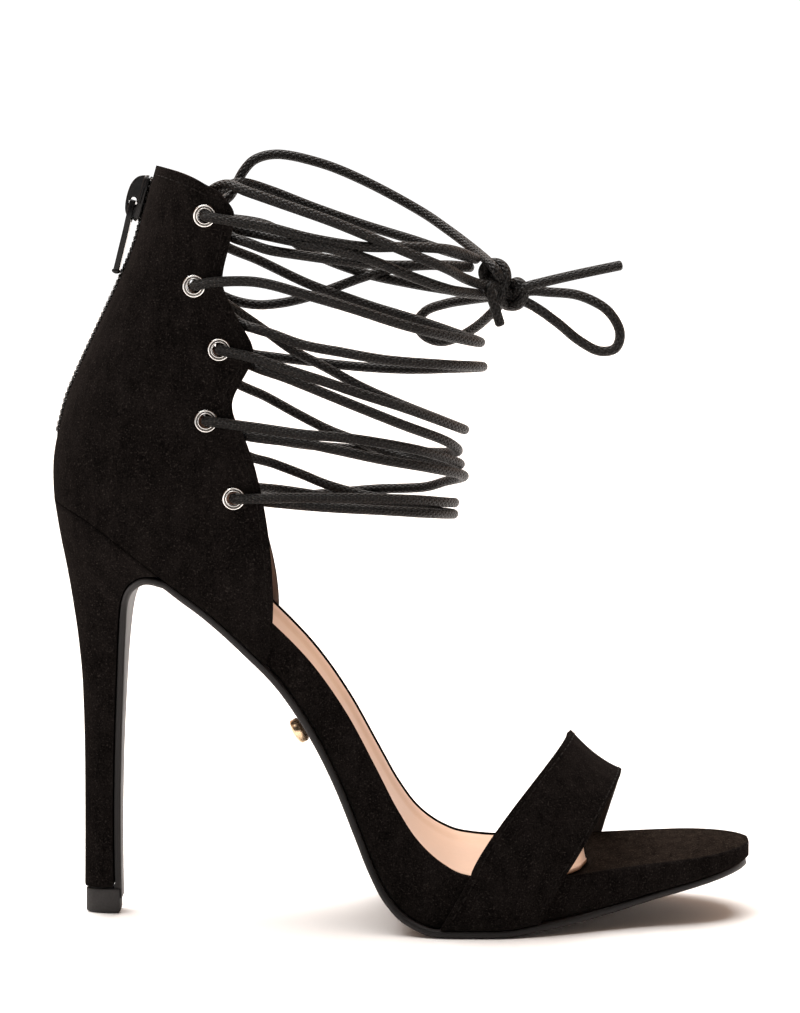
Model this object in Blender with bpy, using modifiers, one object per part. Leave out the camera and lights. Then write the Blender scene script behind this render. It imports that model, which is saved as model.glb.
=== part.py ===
"""Lace-up stiletto sandal for the right foot.

Sizes are millimetres, scaled to metres where a mesh is made. +X points to the toe, +Y to the
inner (medial) side of the foot and +Z up. The floor is z = 0, and the origin is under the
middle of the shoe.
"""
import math

import bmesh
import bpy
import numpy as np
from mathutils import Matrix, Vector

MM = 0.001
GAP = 0.3
LATERAL = -1
MEDIAL = 1
ORIGIN = np.array([0.37, 0.63, 0.0])

# Driving sizes
OUTSOLE_THICK = 2.0
INSOLE_THICK = 1.0
INSOLE_FRONT_X = 54.3
INSOLE_CORNER = 20.0
RIM_LAND = 1.5
COUNTER_WALL = 2.2
STRAP_WALL = 1.8
STRAP_CLEAR = 0.45
HEEL_ROUND = 27.0
TOE_ROUND = 21.7
TIP_HEIGHT = 7.0
CORD = 2.9


class Table:
    """Rows of named columns, read between the rows along a smooth curve."""

    def __init__(self, columns, rows):
        self.names = [row[0] for row in rows]
        self.last = len(rows) - 1
        self.values = {name: np.array([row[1 + i] for row in rows], float) for i, name in enumerate(columns)}

    def at(self, column, place):
        return smooth(self.values[column], place)

    def row(self, name):
        return self.names.index(name)


def smooth(rows, place):
    """Value at a place along the rows (0 is the first), on a smooth curve that never overshoots."""
    rows = np.asarray(rows, float)
    step = np.diff(rows, axis=0)
    before, after = step[:-1], step[1:]
    same_way = before * after > 0
    total = np.where(same_way, before + after, 1.0)
    inner = np.where(same_way, 2 * before * after / total, 0.0)
    slope = np.concatenate([step[:1], inner, step[-1:]])
    row = int(np.clip(math.floor(place), 0, len(rows) - 2))
    f = place - row
    if f < 0:
        return rows[0] + slope[0] * f
    if f > 1:
        return rows[-1] + slope[-1] * (f - 1)
    start, end = slope[row], slope[row + 1]
    rise = step[row]
    return rows[row] + f * start + f * f * (3 * rise - 2 * start - end) + f**3 * (start + end - 2 * rise)


def lerp(a, b, f):
    return a + (b - a) * f


def round_end(f):
    """Width share of a rounded end, at a share f of the way from the end to full width."""
    f = min(max(f, 0.0), 1.0)
    return math.sqrt(1 - (1 - f) ** 2)


# The footbed, a row for each section from the heel to the tip of the toe.
# bottom is the line on top of the outsole, rim is the top edge, swing is the middle's y.
# dish is how far the middle lies under the rim, margin is how far the outsole reaches past it.
FOOTBED = Table(
    ("bottom_x", "bottom_z", "rim_x", "rim_z", "swing", "half_width", "dish", "margin"),
    [
        ("heel end", -97.8, 121.0, -97.4, 127.0, 0.0, 26.0, 1.5, 2.3),
        ("heel seat", -90.0, 117.6, -87.0, 124.0, 0.0, 26.0, 2.2, 2.3),
        ("seat", -80.0, 111.0, -75.6, 117.8, 0.0, 26.0, 2.6, 2.3),
        ("breast", -66.0, 100.0, -60.6, 107.2, -0.3, 25.5, 2.6, 2.3),
        ("rear arch", -54.0, 91.0, -47.8, 98.3, -1.0, 24.0, 2.4, 2.3),
        ("arch", -43.0, 80.9, -36.3, 88.0, -1.8, 22.5, 2.4, 2.2),
        ("waist", -33.0, 70.3, -25.0, 76.2, -2.2, 21.7, 2.4, 1.2),
        ("front waist", -23.7, 56.3, -14.8, 61.6, -2.2, 22.0, 2.4, 0.8),
        ("steep arch", -16.6, 42.4, -6.6, 46.4, -1.8, 23.8, 2.3, 0.8),
        ("low arch", -10.9, 28.5, -0.6, 35.0, -1.2, 26.3, 2.0, 0.8),
        ("bend top", -6.6, 18.0, 4.6, 27.2, -0.8, 29.0, 1.8, 0.8),
        ("bend", -2.4, 10.4, 8.8, 23.0, -0.6, 31.3, 1.6, 1.0),
        ("bend foot", 3.5, 4.8, 12.9, 20.1, -0.4, 33.3, 1.5, 1.4),
        ("tread rear", 12.0, 2.3, 18.0, 17.8, -0.2, 35.2, 1.4, 2.0),
        ("tread front", 28.0, 2.3, 29.5, 16.3, 0.6, 36.2, 1.2, 2.2),
        ("strap", 40.0, 3.6, 40.6, 16.1, 2.2, 34.7, 1.0, 2.2),
        ("strap front", 50.0, 5.0, 50.4, 16.4, 3.4, 32.4, 0.6, 1.6),
        ("toe rear", 60.0, 6.9, 60.2, 17.2, 4.5, 30.0, 0.0, 0.2),
        ("toe", 75.0, 10.4, 75.0, 18.3, 5.8, 26.7, -0.5, -0.6),
        ("toe front", 87.0, 13.1, 87.0, 19.2, 6.2, 24.4, -0.6, -0.9),
        ("tip", 101.7, 16.5, 101.7, 20.7, 5.2, 22.5, -0.3, -1.0),
    ],
)

# The outsole's flap down the front of the heel: its front face, from its lower end up to the seat.
FLAP = Table(
    ("x", "z", "half_width"),
    [
        ("end", -81.2, 7.3, 4.5),
        ("stem", -81.3, 24.0, 4.7),
        ("middle", -80.9, 45.0, 5.4),
        ("stem top", -80.0, 66.0, 7.0),
        ("flare", -79.1, 81.0, 9.7),
        ("breast", -78.0, 91.0, 14.2),
        ("turn", -75.6, 96.4, 20.8),
        ("crown", -71.4, 98.7, 25.2),
        ("lip", -66.8, 97.9, 27.3),
    ],
)

# The heel, a row for each ring. breast is the place along the rows of FLAP where its front lies.
HEEL = Table(
    ("back_x", "back_z", "breast"),
    [
        ("foot", -92.3, 7.4, 0.02),
        ("stem", -92.1, 24.0, 1.0),
        ("middle", -92.0, 45.0, 2.0),
        ("stem top", -92.4, 66.0, 3.0),
        ("flare", -93.5, 80.0, 3.95),
        ("bell", -95.0, 91.5, 4.75),
        ("neck", -96.6, 101.5, 5.4),
        ("cup", -98.2, 110.0, 6.1),
        ("lip", -99.2, 116.0, 6.9),
    ],
)
HEEL_ROUND_SHARE = 0.74
HEEL_SEAT_FRONT = 38.0

# The counter above the footbed's rim, a row for each line from the zip to the scalloped front edge.
# half is the width where the round back ends, round is how far that is from the back.
# set_back is how far the medial front edge lies behind the lateral one.
COUNTER = Table(
    ("back_x", "back_z", "front_x", "front_z", "half", "round", "front_lateral", "front_medial", "set_back", "bow"),
    [
        ("heel cup", -100.4, 134.0, -35.6, 103.0, 29.6, 29.0, 27.4, 24.6, 1.9, 0.0),
        ("heel", -98.5, 142.0, -37.7, 121.5, 29.8, 28.5, 27.8, 26.0, 6.0, 0.0),
        ("lower front", -96.2, 150.5, -42.6, 138.5, 29.0, 27.0, 27.6, 26.8, 5.0, 0.0),
        ("lower notch", -93.1, 158.0, -46.9, 149.8, 28.2, 25.5, 27.2, 27.0, 5.0, 0.0),
        ("lower scallop", -88.9, 167.0, -40.9, 164.2, 27.4, 24.0, 27.4, 27.2, 5.0, 0.0),
        ("ankle", -84.6, 176.0, -46.2, 175.5, 26.8, 22.0, 27.0, 27.0, 5.0, 0.0),
        ("upper notch", -80.6, 184.5, -49.7, 184.9, 26.4, 20.0, 26.8, 26.8, 5.0, 0.0),
        ("upper front", -76.2, 195.0, -47.5, 195.5, 26.6, 18.5, 27.0, 27.0, 5.0, 0.0),
        ("upper scallop", -73.5, 204.5, -46.3, 203.0, 27.0, 18.0, 27.4, 27.4, 4.5, 0.8),
        ("top", -69.9, 217.2, -50.5, 209.4, 27.4, 17.5, 27.6, 27.6, 4.0, 0.9),
    ],
)
COUNTER_SOLE_FRONT = -38.0
COUNTER_RIM_FRONT = -35.2
COUNTER_LAST = COUNTER.last + 2
ZIP_END = 2.65
ZIP_TOP = COUNTER_LAST - 0.23
ZIP_SLOT = 0.029
CHAIN_HALF = 1.9

# The toe strap's two edges: where they leave the sole and the rim, and the top of the arch.
# lean is the power of the way each side leans forward from its rim to the top.
STRAP = Table(
    ("sole_lateral", "rim_lateral", "crest_x", "crest_z", "rim_medial", "sole_medial", "lean_lateral", "lean_medial"),
    [
        ("rear", 11.5, 20.0, 49.7, 53.0, 38.0, 33.0, 1.25, 0.6),
        ("front", 40.0, 46.7, 64.8, 41.0, 61.2, 56.6, 0.95, 1.0),
    ],
)
STRAP_TILT = 3.0
STRAP_SAG = 1.4
ARCH_POWER = 0.875

# The eyelets, from the top down, on both sides of the counter.
EYELETS = Table(
    ("x", "z"),
    [
        ("1", -54.4, 202.8),
        ("2", -57.5, 183.2),
        ("3", -50.5, 165.3),
        ("4", -54.3, 145.3),
        ("5", -46.6, 123.6),
    ],
)
EYELET_SET_BACK = 3.0
EYELET_HOLE = 2.0
EYELET_BARREL = 2.4
EYELET_FLANGE = 3.3
EYELET_CUT = 2.75

# The zip's slider and pull, in the slider's own directions: out from the chain, and up along it.
SLIDER_Z = 207.4
SLIDER_HALF = 6.9
HINGE_OUT = 3.75
HINGE_UP = -1.7
HINGE_HOLE = 1.25
CROWN_HALF = 1.1
PULL_THICK = 1.7
PULL_LEAN = math.radians(14.0)

# A plain stud under the arch.
STUD_RADIUS = 3.7
STUD_NECK = 2.6
STUD_X = -24.8
STUD_Y = -16.0

# The lace round the ankle, seen from above: straight beside the counter, then round its front.
LACE_HALF = 28.3
LACE_TURN_X = -25.0
LACE_LAYER = 1.25
OUT = 1
IN = -1

# One run of the lace for each pair of eyelets: its layers on the lateral and the medial side, then
# its points (x, z) along the lateral side, at the front, and back along the medial side.
LACE_RUNS = {
    "bar": (
        (IN, IN),
        ((-35.5, 121.4), (-21.6, 121.1), (-4.3, 119.8), (9.0, 118.2)),
        (15.5, 116.7),
        ((11.0, 116.3), (-4.0, 117.2), (-22.0, 119.4), (-35.5, 121.4)),
    ),
    "lateral_5_medial_4": (
        (OUT, IN),
        ((-42.0, 123.8), (-30.0, 123.9), (-20.0, 123.9), (-7.4, 123.5), (4.4, 122.6), (13.0, 121.1)),
        (15.7, 120.0),
        ((9.0, 119.0), (-8.3, 119.6), (-21.7, 122.9), (-29.9, 126.2), (-38.1, 129.3)),
    ),
    "lateral_4_medial_5": (
        (IN, OUT),
        ((-41.0, 140.8), (-35.5, 140.1), (-26.2, 139.0), (-18.4, 137.4), (-4.4, 134.2), (8.0, 131.6)),
        (18.5, 127.8),
        ((13.1, 125.0), (7.2, 122.9), (-8.0, 121.6), (-23.6, 120.0), (-34.0, 119.4), (-42.0, 121.4)),
    ),
    "lateral_4_medial_3": (
        (OUT, IN),
        ((-49.5, 145.0), (-38.8, 143.5), (-27.0, 141.8), (-15.7, 140.8), (-4.3, 138.9), (7.0, 136.2)),
        (17.4, 131.2),
        ((12.0, 130.2), (-0.2, 131.8), (-15.1, 136.9), (-21.6, 139.4), (-29.9, 143.6), (-39.7, 149.0)),
    ),
    "lateral_3_medial_4": (
        (IN, OUT),
        ((-38.5, 159.8), (-32.0, 157.6), (-21.6, 153.4), (-10.1, 148.6), (1.3, 143.8), (12.9, 138.8)),
        (16.8, 135.2),
        ((14.0, 133.8), (-0.2, 133.2), (-23.6, 134.2), (-35.5, 135.8), (-46.5, 138.6)),
    ),
    "lateral_3_medial_2": (
        (OUT, IN),
        ((-46.2, 164.6), (-41.5, 163.4), (-32.8, 160.4), (-21.6, 156.8), (-10.1, 152.8), (1.3, 148.9)),
        (18.6, 141.2),
        ((12.0, 143.0), (1.0, 146.9), (-11.3, 152.0), (-22.3, 157.9), (-32.4, 163.2), (-40.5, 169.0)),
    ),
    "lateral_2_medial_3": (
        (IN, OUT),
        ((-40.0, 171.2), (-35.8, 169.9), (-27.1, 166.8), (-15.7, 164.6), (-4.2, 162.5), (12.9, 160.8)),
        (23.9, 159.4),
        ((16.0, 158.2), (1.0, 157.5), (-14.2, 158.2), (-28.2, 159.7), (-37.3, 160.8), (-45.0, 162.0)),
    ),
    "lateral_2_medial_1": (
        (OUT, IN),
        ((-53.0, 184.2), (-40.0, 184.4), (-24.9, 180.5), (-12.9, 176.9), (-0.6, 172.8), (8.4, 170.2)),
        (23.2, 166.4),
        ((16.0, 168.6), (5.1, 172.1), (-7.7, 175.8), (-17.2, 179.0), (-27.0, 182.5), (-42.0, 189.6)),
    ),
    "lateral_1_medial_2": (
        (IN, OUT),
        ((-42.0, 195.2), (-36.9, 193.4), (-27.9, 191.9), (-12.9, 189.9), (-3.7, 189.0), (10.0, 188.9)),
        (21.6, 188.2),
        ((12.5, 188.6), (-1.1, 187.4), (-10.9, 184.7), (-20.5, 181.2), (-27.0, 178.9), (-35.1, 177.0), (-42.9, 176.4), (-50.5, 178.0)),
    ),
}

# The lace's two ties. Each leaves a top eyelet, goes once round the front, then inside the cuff
# round the back of the ankle, and comes forward over the cuff's top corner to the knot.
# Points are (x, y, z) inside the cuff and by the knot, and (x, z) where they follow the ankle.
LACE_TIES = {
    "lateral": (
        ((-49.0, 202.2), (-36.8, 199.7), (-24.8, 196.6), (-9.8, 194.2), (3.0, 194.1), (14.0, 193.3)),
        (21.8, 191.2),
        ((13.0, 192.6), (3.9, 195.6), (-10.9, 200.1), (-25.6, 205.2), (-38.5, 210.2)),
        (
            (-45.5, 26.6, 212.4),
            (-48.6, 24.6, 212.4),
            (-51.5, 22.2, 211.0),
            (-55.5, 19.2, 208.6),
            (-60.5, 13.5, 207.8),
            (-64.6, 0.0, 207.8),
            (-60.5, -13.5, 207.8),
            (-54.8, -19.8, 208.8),
            (-50.8, -23.0, 211.0),
            (-47.4, -26.2, 211.5),
        ),
        ((-42.8, 209.7), (-34.0, 206.6), (-18.7, 201.2), (-9.8, 197.6), (2.5, 192.5), (13.5, 187.9)),
        ((18.6, -11.5, 185.0), (23.5, -6.0, 183.2), (26.4, -3.8, 182.9)),
    ),
    "medial": (
        ((-49.5, 203.2), (-39.7, 200.0), (-27.0, 192.0), (-10.9, 185.8), (2.1, 183.0), (12.0, 181.4)),
        (24.0, 180.2),
        ((14.6, 181.9), (5.3, 185.1), (-6.7, 190.0), (-15.1, 192.8), (-25.0, 194.8)),
        (
            (-33.0, -26.8, 196.4),
            (-39.0, -22.8, 197.6),
            (-45.0, -21.0, 198.8),
            (-50.0, -20.8, 199.8),
            (-56.0, -20.6, 201.4),
            (-63.5, -12.5, 202.2),
            (-66.8, 0.0, 203.2),
            (-64.0, 12.5, 204.2),
            (-58.0, 19.8, 205.0),
            (-53.6, 22.2, 206.2),
            (-50.4, 24.8, 208.6),
            (-48.4, 28.5, 212.7),
            (-46.4, 28.9, 216.2),
            (-43.3, 28.7, 219.3),
        ),
        ((-37.0, 220.9), (-23.8, 218.3), (-10.9, 213.1), (6.2, 203.9)),
        ((21.2, 14.5, 194.6), (25.6, 8.0, 190.0), (27.7, 4.5, 188.3)),
    ),
}
# Runs that touch where they cross, joined into one piece of lacing each.
LACE_GROUPS = {
    "5_4": ("bar", "lateral_5_medial_4", "lateral_4_medial_5"),
    "4_3": ("lateral_4_medial_3", "lateral_3_medial_4"),
    "3_2": ("lateral_3_medial_2", "lateral_2_medial_3"),
    "2_1": ("lateral_2_medial_1", "lateral_1_medial_2", "tie_lateral", "tie_medial"),
}
LACE_KNOT = (30.9, -1.0, 183.65)
KNOT_TURNS = ((29.2, -0.5, 187.3), (32.6, -1.5, 180.0))
KNOT_RADIUS = 2.2
LACE_BOW = {
    "loop_front": (
        (37.8, 0.4, 181.2),
        (42.3, 1.4, 180.9),
        (51.9, 2.0, 179.8),
        (60.0, 1.0, 175.4),
        (63.4, -0.6, 169.2),
        (62.0, -2.0, 164.8),
        (57.6, -2.6, 164.0),
        (51.6, -2.4, 167.0),
        (45.6, -1.8, 171.9),
        (40.2, -1.4, 175.8),
        (36.4, -1.2, 178.0),
    ),
    "loop_back": (
        (30.6, 4.4, 180.6),
        (26.0, 12.0, 179.2),
        (20.0, 18.6, 178.2),
        (13.4, 24.0, 176.9),
        (7.2, 28.6, 174.4),
        (4.8, 30.2, 170.8),
        (7.0, 29.2, 167.2),
        (11.6, 26.6, 165.6),
        (16.4, 23.0, 166.8),
        (22.0, 16.0, 170.2),
        (26.6, 8.0, 174.6),
        (29.2, 4.4, 177.4),
    ),
    "end_upper": ((36.0, -4.9, 182.4), (41.0, -5.0, 183.8), (50.0, -4.9, 185.9), (63.0, -4.0, 188.6)),
    "end_lower": ((28.6, -5.4, 181.6), (28.2, -5.6, 177.6), (28.9, -5.4, 171.6)),
}


def add_collection(name):
    collection = bpy.data.collections.new(name)
    bpy.context.scene.collection.children.link(collection)
    return collection


def metres(point):
    """A point in millimetres as a vector in metres from the shoe's origin."""
    return Vector((np.asarray(point, float) - ORIGIN) * MM)


def material(name, colour, roughness, metallic=0.0):
    made = bpy.data.materials.new(name)
    made.use_nodes = True
    shader = made.node_tree.nodes["Principled BSDF"]
    shader.inputs["Base Color"].default_value = (*colour, 1.0)
    shader.inputs["Roughness"].default_value = roughness
    shader.inputs["Metallic"].default_value = metallic
    made.diffuse_color = (*colour, 1.0)
    return made


def add_object(name, mesh, surface, collection):
    made = bpy.data.objects.new(name, mesh)
    collection.objects.link(made)
    mesh.materials.clear()
    mesh.materials.append(surface)
    return made


def mesh_from(bm, name):
    mesh = bpy.data.meshes.new(name)
    bm.to_mesh(mesh)
    bm.free()
    return mesh


def loft(name, rings, surface, collection, strip_end=False):
    """A closed solid through rings of equal point counts. A strip end follows a curved seat."""
    bm = bmesh.new()
    made = [[bm.verts.new(metres(p)) for p in ring] for ring in rings]
    count = len(made[0])
    for low, high in zip(made, made[1:]):
        for k in range(count):
            after = (k + 1) % count
            bm.faces.new((low[k], low[after], high[after], high[k]))
    bm.faces.new(list(reversed(made[0])))
    if strip_end:
        top = made[-1]
        for k in range(count // 2):
            corners = [top[k], top[k + 1], top[count - 2 - k], top[count - 1 - k]]
            bm.faces.new(list(dict.fromkeys(corners)))
    else:
        bm.faces.new(made[-1])
    bmesh.ops.recalc_face_normals(bm, faces=bm.faces)
    return add_object(name, mesh_from(bm, name), surface, collection)


def sheet(name, columns, rows, place, wall, surface, collection, leave_out=None):
    """A wall of even thickness inside the surface place(column, row), without the cells left out."""
    bm = bmesh.new()
    across, along = len(columns) - 1, len(rows) - 1
    bmesh.ops.create_grid(bm, x_segments=across, y_segments=along, size=1.0)
    cells = {}
    for vert in bm.verts:
        column = round((vert.co.x + 1) / 2 * across)
        row = round((vert.co.y + 1) / 2 * along)
        cells[vert] = (column, row)
        vert.co = metres(place(columns[column], rows[row]))
    if leave_out:
        holes = [face for face in bm.faces if leave_out(*np.mean([cells[v] for v in face.verts], axis=0))]
        bmesh.ops.delete(bm, geom=holes, context="FACES")
    bm.normal_update()
    face = bm.faces[:][0]
    inside = sum((v.co for v in bm.verts), Vector()) / len(bm.verts)
    if face.normal.dot(face.calc_center_median() - inside) < 0:
        bmesh.ops.reverse_faces(bm, faces=bm.faces)
    made = add_object(name, mesh_from(bm, name), surface, collection)
    shell = made.modifiers.new("wall", "SOLIDIFY")
    shell.thickness = wall * MM
    shell.offset = -1.0
    shell.use_even_offset = True
    return made


# The last: lines and edges that the pieces share
def bottom(s):
    return np.array([FOOTBED.at("bottom_x", s), FOOTBED.at("bottom_z", s)])


def rim(s):
    return np.array([FOOTBED.at("rim_x", s), FOOTBED.at("rim_z", s)])


STEPS = np.linspace(0, FOOTBED.last, 401)
LINE = np.array([bottom(s) for s in STEPS])
RIM_LINE = np.array([rim(s) for s in STEPS])
TRAVEL = np.concatenate([[0.0], np.cumsum(np.linalg.norm(np.diff(LINE, axis=0), axis=1))])


def station(travel):
    """Place along the footbed's rows at a distance from its heel end, also a little behind it."""
    if travel < 0:
        return travel * STEPS[1] / TRAVEL[1]
    return float(np.interp(travel, TRAVEL, STEPS))


def station_at_x(x):
    return float(np.interp(x, LINE[:, 0], STEPS))


def station_at_rim(x):
    return float(np.interp(x, RIM_LINE[:, 0], STEPS))


def edge(s, side, extra=0.0):
    """The footbed's edge, or an outline extra further out, as a y."""
    travel = float(np.interp(s, STEPS, TRAVEL))
    heel = round_end((travel + extra) / (HEEL_ROUND + extra))
    toe = round_end((LINE[-1, 0] + extra - FOOTBED.at("bottom_x", s)) / (TOE_ROUND + extra))
    return FOOTBED.at("swing", s) + side * (FOOTBED.at("half_width", s) + extra) * heel * toe


def stations(first, last, heel_count, middle_count, toe_count):
    """Stations from a heel travel to a toe travel, closer together round both ends."""
    total = TRAVEL[-1]
    heel = [first + (HEEL_ROUND - first) * (1 - math.cos(math.pi / 2 * k / heel_count)) for k in range(heel_count)]
    toe_start = total - TOE_ROUND
    if toe_count:
        toe = [
            toe_start + (last - toe_start) * math.sin(math.pi / 2 * k / toe_count)
            for k in range(1, toe_count + 1)
        ]
        middle = np.linspace(HEEL_ROUND, toe_start, middle_count)
    else:
        toe = []
        middle = np.linspace(HEEL_ROUND, last, middle_count)
    return [station(travel) for travel in [*heel, *middle, *toe]]


def recess(x):
    """How deep the bed lies under the rim so that the insole is flush, up to the insole's front."""
    fade = min(max((INSOLE_FRONT_X + 3.0 - x) / 2.5, 0.0), 1.0)
    return (INSOLE_THICK + GAP) * fade


def bed_depth(s, across):
    """Depth of the bed under the rim, at a share across from the middle to the edge."""
    return recess(FOOTBED.at("rim_x", s)) + FOOTBED.at("dish", s) * (1 - across**2)


def section_points(s, profile):
    """Points of a section from (y, height above the bottom line) pairs."""
    low, high = bottom(s), rim(s)
    up = (high - low) / np.linalg.norm(high - low)
    return [(low[0] + up[0] * h, y, low[1] + up[1] * h) for y, h in profile]


def footbed_section(s):
    height = np.linalg.norm(rim(s) - bottom(s))
    left, right = edge(s, LATERAL), edge(s, MEDIAL)
    middle, half = (left + right) / 2, (right - left) / 2
    fit = min(1.0, half / 8.0)
    round_off = 0.8 * min(fit, height / 5.0)
    land = RIM_LAND * fit
    step = (RIM_LAND + GAP) * fit
    side = [(half - round_off, 0.0), (half, round_off), (half, height - round_off), (half - round_off, height)]
    side += [(half - land, height), (half - step, height - recess(FOOTBED.at("rim_x", s)))]
    bed = [((half - step) * t, height - bed_depth(s, t)) for t in (0.5,)]
    outline = side + bed
    ring = [(middle + y, h) for y, h in outline]
    ring.append((middle, height - bed_depth(s, 0.0)))
    ring += [(middle - y, h) for y, h in reversed(outline)]
    return section_points(s, ring)


def insole_half(s, side):
    inset = RIM_LAND + 2 * GAP
    y = edge(s, side, -inset)
    corner = min(max((INSOLE_FRONT_X - FOOTBED.at("rim_x", s)) / INSOLE_CORNER, 0.0), 1.0)
    return y - side * INSOLE_CORNER * (1 - round_end(corner))


def insole_section(s):
    height = np.linalg.norm(rim(s) - bottom(s))
    left, right = insole_half(s, LATERAL), insole_half(s, MEDIAL)
    middle, half = (left + right) / 2, (right - left) / 2
    shares = (1.0, 0.5, 0.0, -0.5, -1.0)
    low = [(middle + half * t, height - bed_depth(s, t) + GAP) for t in shares]
    high = [(y, h + INSOLE_THICK) for y, h in reversed(low)]
    return section_points(s, low + high)


def seat_outline(travel, side):
    """The line round the seat where the counter's outside meets the heel, from the back."""
    skin = GAP + COUNTER_WALL
    s = station(travel - skin)
    x, z = bottom(s)
    if travel < HEEL_ROUND + skin:
        reach = round_end(travel / (HEEL_ROUND + skin))
        y = FOOTBED.at("swing", max(s, 0)) + side * (FOOTBED.at("half_width", max(s, 0)) + skin) * reach
    else:
        y = edge(s, side) + side * skin
    return np.array([x, y, z])


# The sole
def flap_point(place):
    return np.array([FLAP.at("x", place), FLAP.at("z", place)])


def flap_inside(place, depth):
    """A point behind the flap's front face."""
    along = flap_point(place + 0.05) - flap_point(place - 0.05)
    along /= np.linalg.norm(along)
    return flap_point(place) + depth * np.array([-along[1], along[0]])


def tread_point(s):
    """A point of the outsole's outer face under the footbed."""
    along = bottom(s + 0.02) - bottom(s - 0.02)
    along /= np.linalg.norm(along)
    return bottom(s) - (OUTSOLE_THICK + GAP) * np.array([-along[1], along[0]])


def add_outsole(surface, collection):
    line = []
    for place in np.linspace(0, FLAP.last, 21):
        half = FLAP.at("half_width", place)
        line.append((flap_point(place), -half, half))
    start = station_at_x(-60.0)
    middle = np.linspace(start, FOOTBED.row("toe"), 34)
    end = TRAVEL[-1] - TOE_ROUND
    toe = [station(end + (TOE_ROUND - 1.6) * math.sin(math.pi / 2 * k / 8)) for k in range(2, 9)]
    for s in [*middle, *[s for s in toe if s > FOOTBED.row("toe") + 0.1]]:
        margin = FOOTBED.at("margin", s)
        line.append((tread_point(s), edge(s, LATERAL, margin), edge(s, MEDIAL, margin)))
    rings = []
    for k, (point, left, right) in enumerate(line):
        along = line[min(k + 1, len(line) - 1)][0] - line[max(k - 1, 0)][0]
        along /= np.linalg.norm(along)
        up = np.array([-along[1], along[0]])
        round_off = 0.5
        profile = [(left + round_off, 0.0), (right - round_off, 0.0), (right, round_off)]
        profile += [(right, OUTSOLE_THICK), (left, OUTSOLE_THICK), (left, round_off)]
        rings.append([(point[0] + up[0] * n, y, point[1] + up[1] * n) for y, n in profile])
    return loft("outsole", rings, surface, collection)


def heel_ring(back, front, half):
    """A ring with a round back and a straight front, as far round as its own length."""
    arc = HEEL_ROUND_SHARE
    ring = []
    for t in np.linspace(-1, 1, 17):
        if abs(t) < 0.64:
            angle = math.pi / 2 * abs(t) / 0.64
            share, width = arc * (1 - math.cos(angle)), math.sin(angle)
        else:
            share, width = arc + (1 - arc) * (abs(t) - 0.64) / 0.36, 1.0
        x, z = lerp(back, front, share)
        ring.append((x, math.copysign(half * width, t), z))
    return ring


def seat_ring():
    """The heel's top ring, on the seat under the counter and the footbed."""
    ring = []
    arc = HEEL_ROUND + GAP + COUNTER_WALL
    for t in np.linspace(-1, 1, 17):
        if abs(t) < 0.64:
            travel = arc * (1 - math.cos(math.pi / 2 * abs(t) / 0.64))
        else:
            travel = lerp(arc, HEEL_SEAT_FRONT, (abs(t) - 0.64) / 0.36)
        side = MEDIAL if t > 0 else LATERAL
        ring.append(seat_outline(travel, side) - np.array([0.0, 0.0, GAP]))
    return ring


def add_heel(surface, collection):
    rings = []
    for place in np.linspace(0, HEEL.last, 17):
        back = np.array([HEEL.at("back_x", place), HEEL.at("back_z", place)])
        breast = HEEL.at("breast", place)
        front = flap_inside(breast, OUTSOLE_THICK + GAP + 0.1)
        rings.append(heel_ring(back, front, FLAP.at("half_width", breast) + 0.2))
    rings.append(seat_ring())
    return loft("heel", rings, surface, collection, strip_end=True)


def add_heel_tip(surface, collection):
    back = np.array([HEEL.at("back_x", 0) + 0.4, 0.0])
    front = np.array([FLAP.at("x", 0) - 0.6, 0.0])
    half = FLAP.at("half_width", 0) - 0.3
    low = heel_ring(back, front, half)
    high = [(x, y, TIP_HEIGHT) for x, y, _ in low]
    return loft("heel_tip", [low, high], surface, collection)


def add_footbed(surface, collection):
    total = TRAVEL[-1]
    places = stations(0.35, total - 0.5, 7, 25, 7)
    places += [station_at_rim(INSOLE_FRONT_X + 0.5), station_at_rim(INSOLE_FRONT_X + 3.0)]
    rings = [footbed_section(s) for s in sorted(places)]
    return loft("footbed", rings, surface, collection)


def add_insole(surface, collection):
    front = float(np.interp(INSOLE_FRONT_X, RIM_LINE[:, 0], TRAVEL))
    places = stations(RIM_LAND + 2 * GAP + 0.4, front - INSOLE_CORNER, 7, 19, 0)
    corner = [station(front - INSOLE_CORNER * math.cos(math.pi / 2 * k / 4)) for k in range(1, 5)]
    rings = [insole_section(s) for s in [*places, *corner]]
    return loft("insole", rings, surface, collection)


# The upper
def counter_lines(t):
    """The counter's points at a share t from the zip to the front, one for each row upwards."""
    side = MEDIAL if t > 0 else LATERAL
    share = abs(t)
    turn = math.pi / 2 * min(share / 0.5, 1.0)
    past = max(share - 0.5, 0.0) / 0.5
    skin = GAP + COUNTER_WALL
    arc = HEEL_ROUND + skin
    fronts = (station_at_x(COUNTER_SOLE_FRONT), station_at_rim(COUNTER_RIM_FRONT))
    points = []
    for front, line in zip(fronts, (bottom, rim)):
        length = float(np.interp(front, STEPS, TRAVEL)) + skin
        travel = arc * (1 - math.cos(turn)) + (length - arc) * past
        y = seat_outline(travel, side)[1]
        x, z = line(station(travel - skin))
        points.append(np.array([x, y, z]))
    for k in range(COUNTER.last + 1):
        value = {name: column[k] for name, column in COUNTER.values.items()}
        back = np.array([value["back_x"], value["back_z"]])
        front_x = value["front_x"] - (value["set_back"] if side == MEDIAL else 0.0)
        line = np.array([front_x, value["front_z"]]) - back
        length = np.linalg.norm(line)
        reach = (value["round"] * (1 - math.cos(turn)) + (length - value["round"]) * past) / length
        front_half = value["front_medial"] if side == MEDIAL else value["front_lateral"]
        y = value["half"] * math.sin(turn) if past == 0 else lerp(value["half"], front_half, past)
        x, z = back + line * reach
        points.append(np.array([x, side * y, z + 4 * value["bow"] * reach * (1 - reach)]))
    return points


def counter_point(t, v):
    return smooth(counter_lines(t), v)


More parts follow.
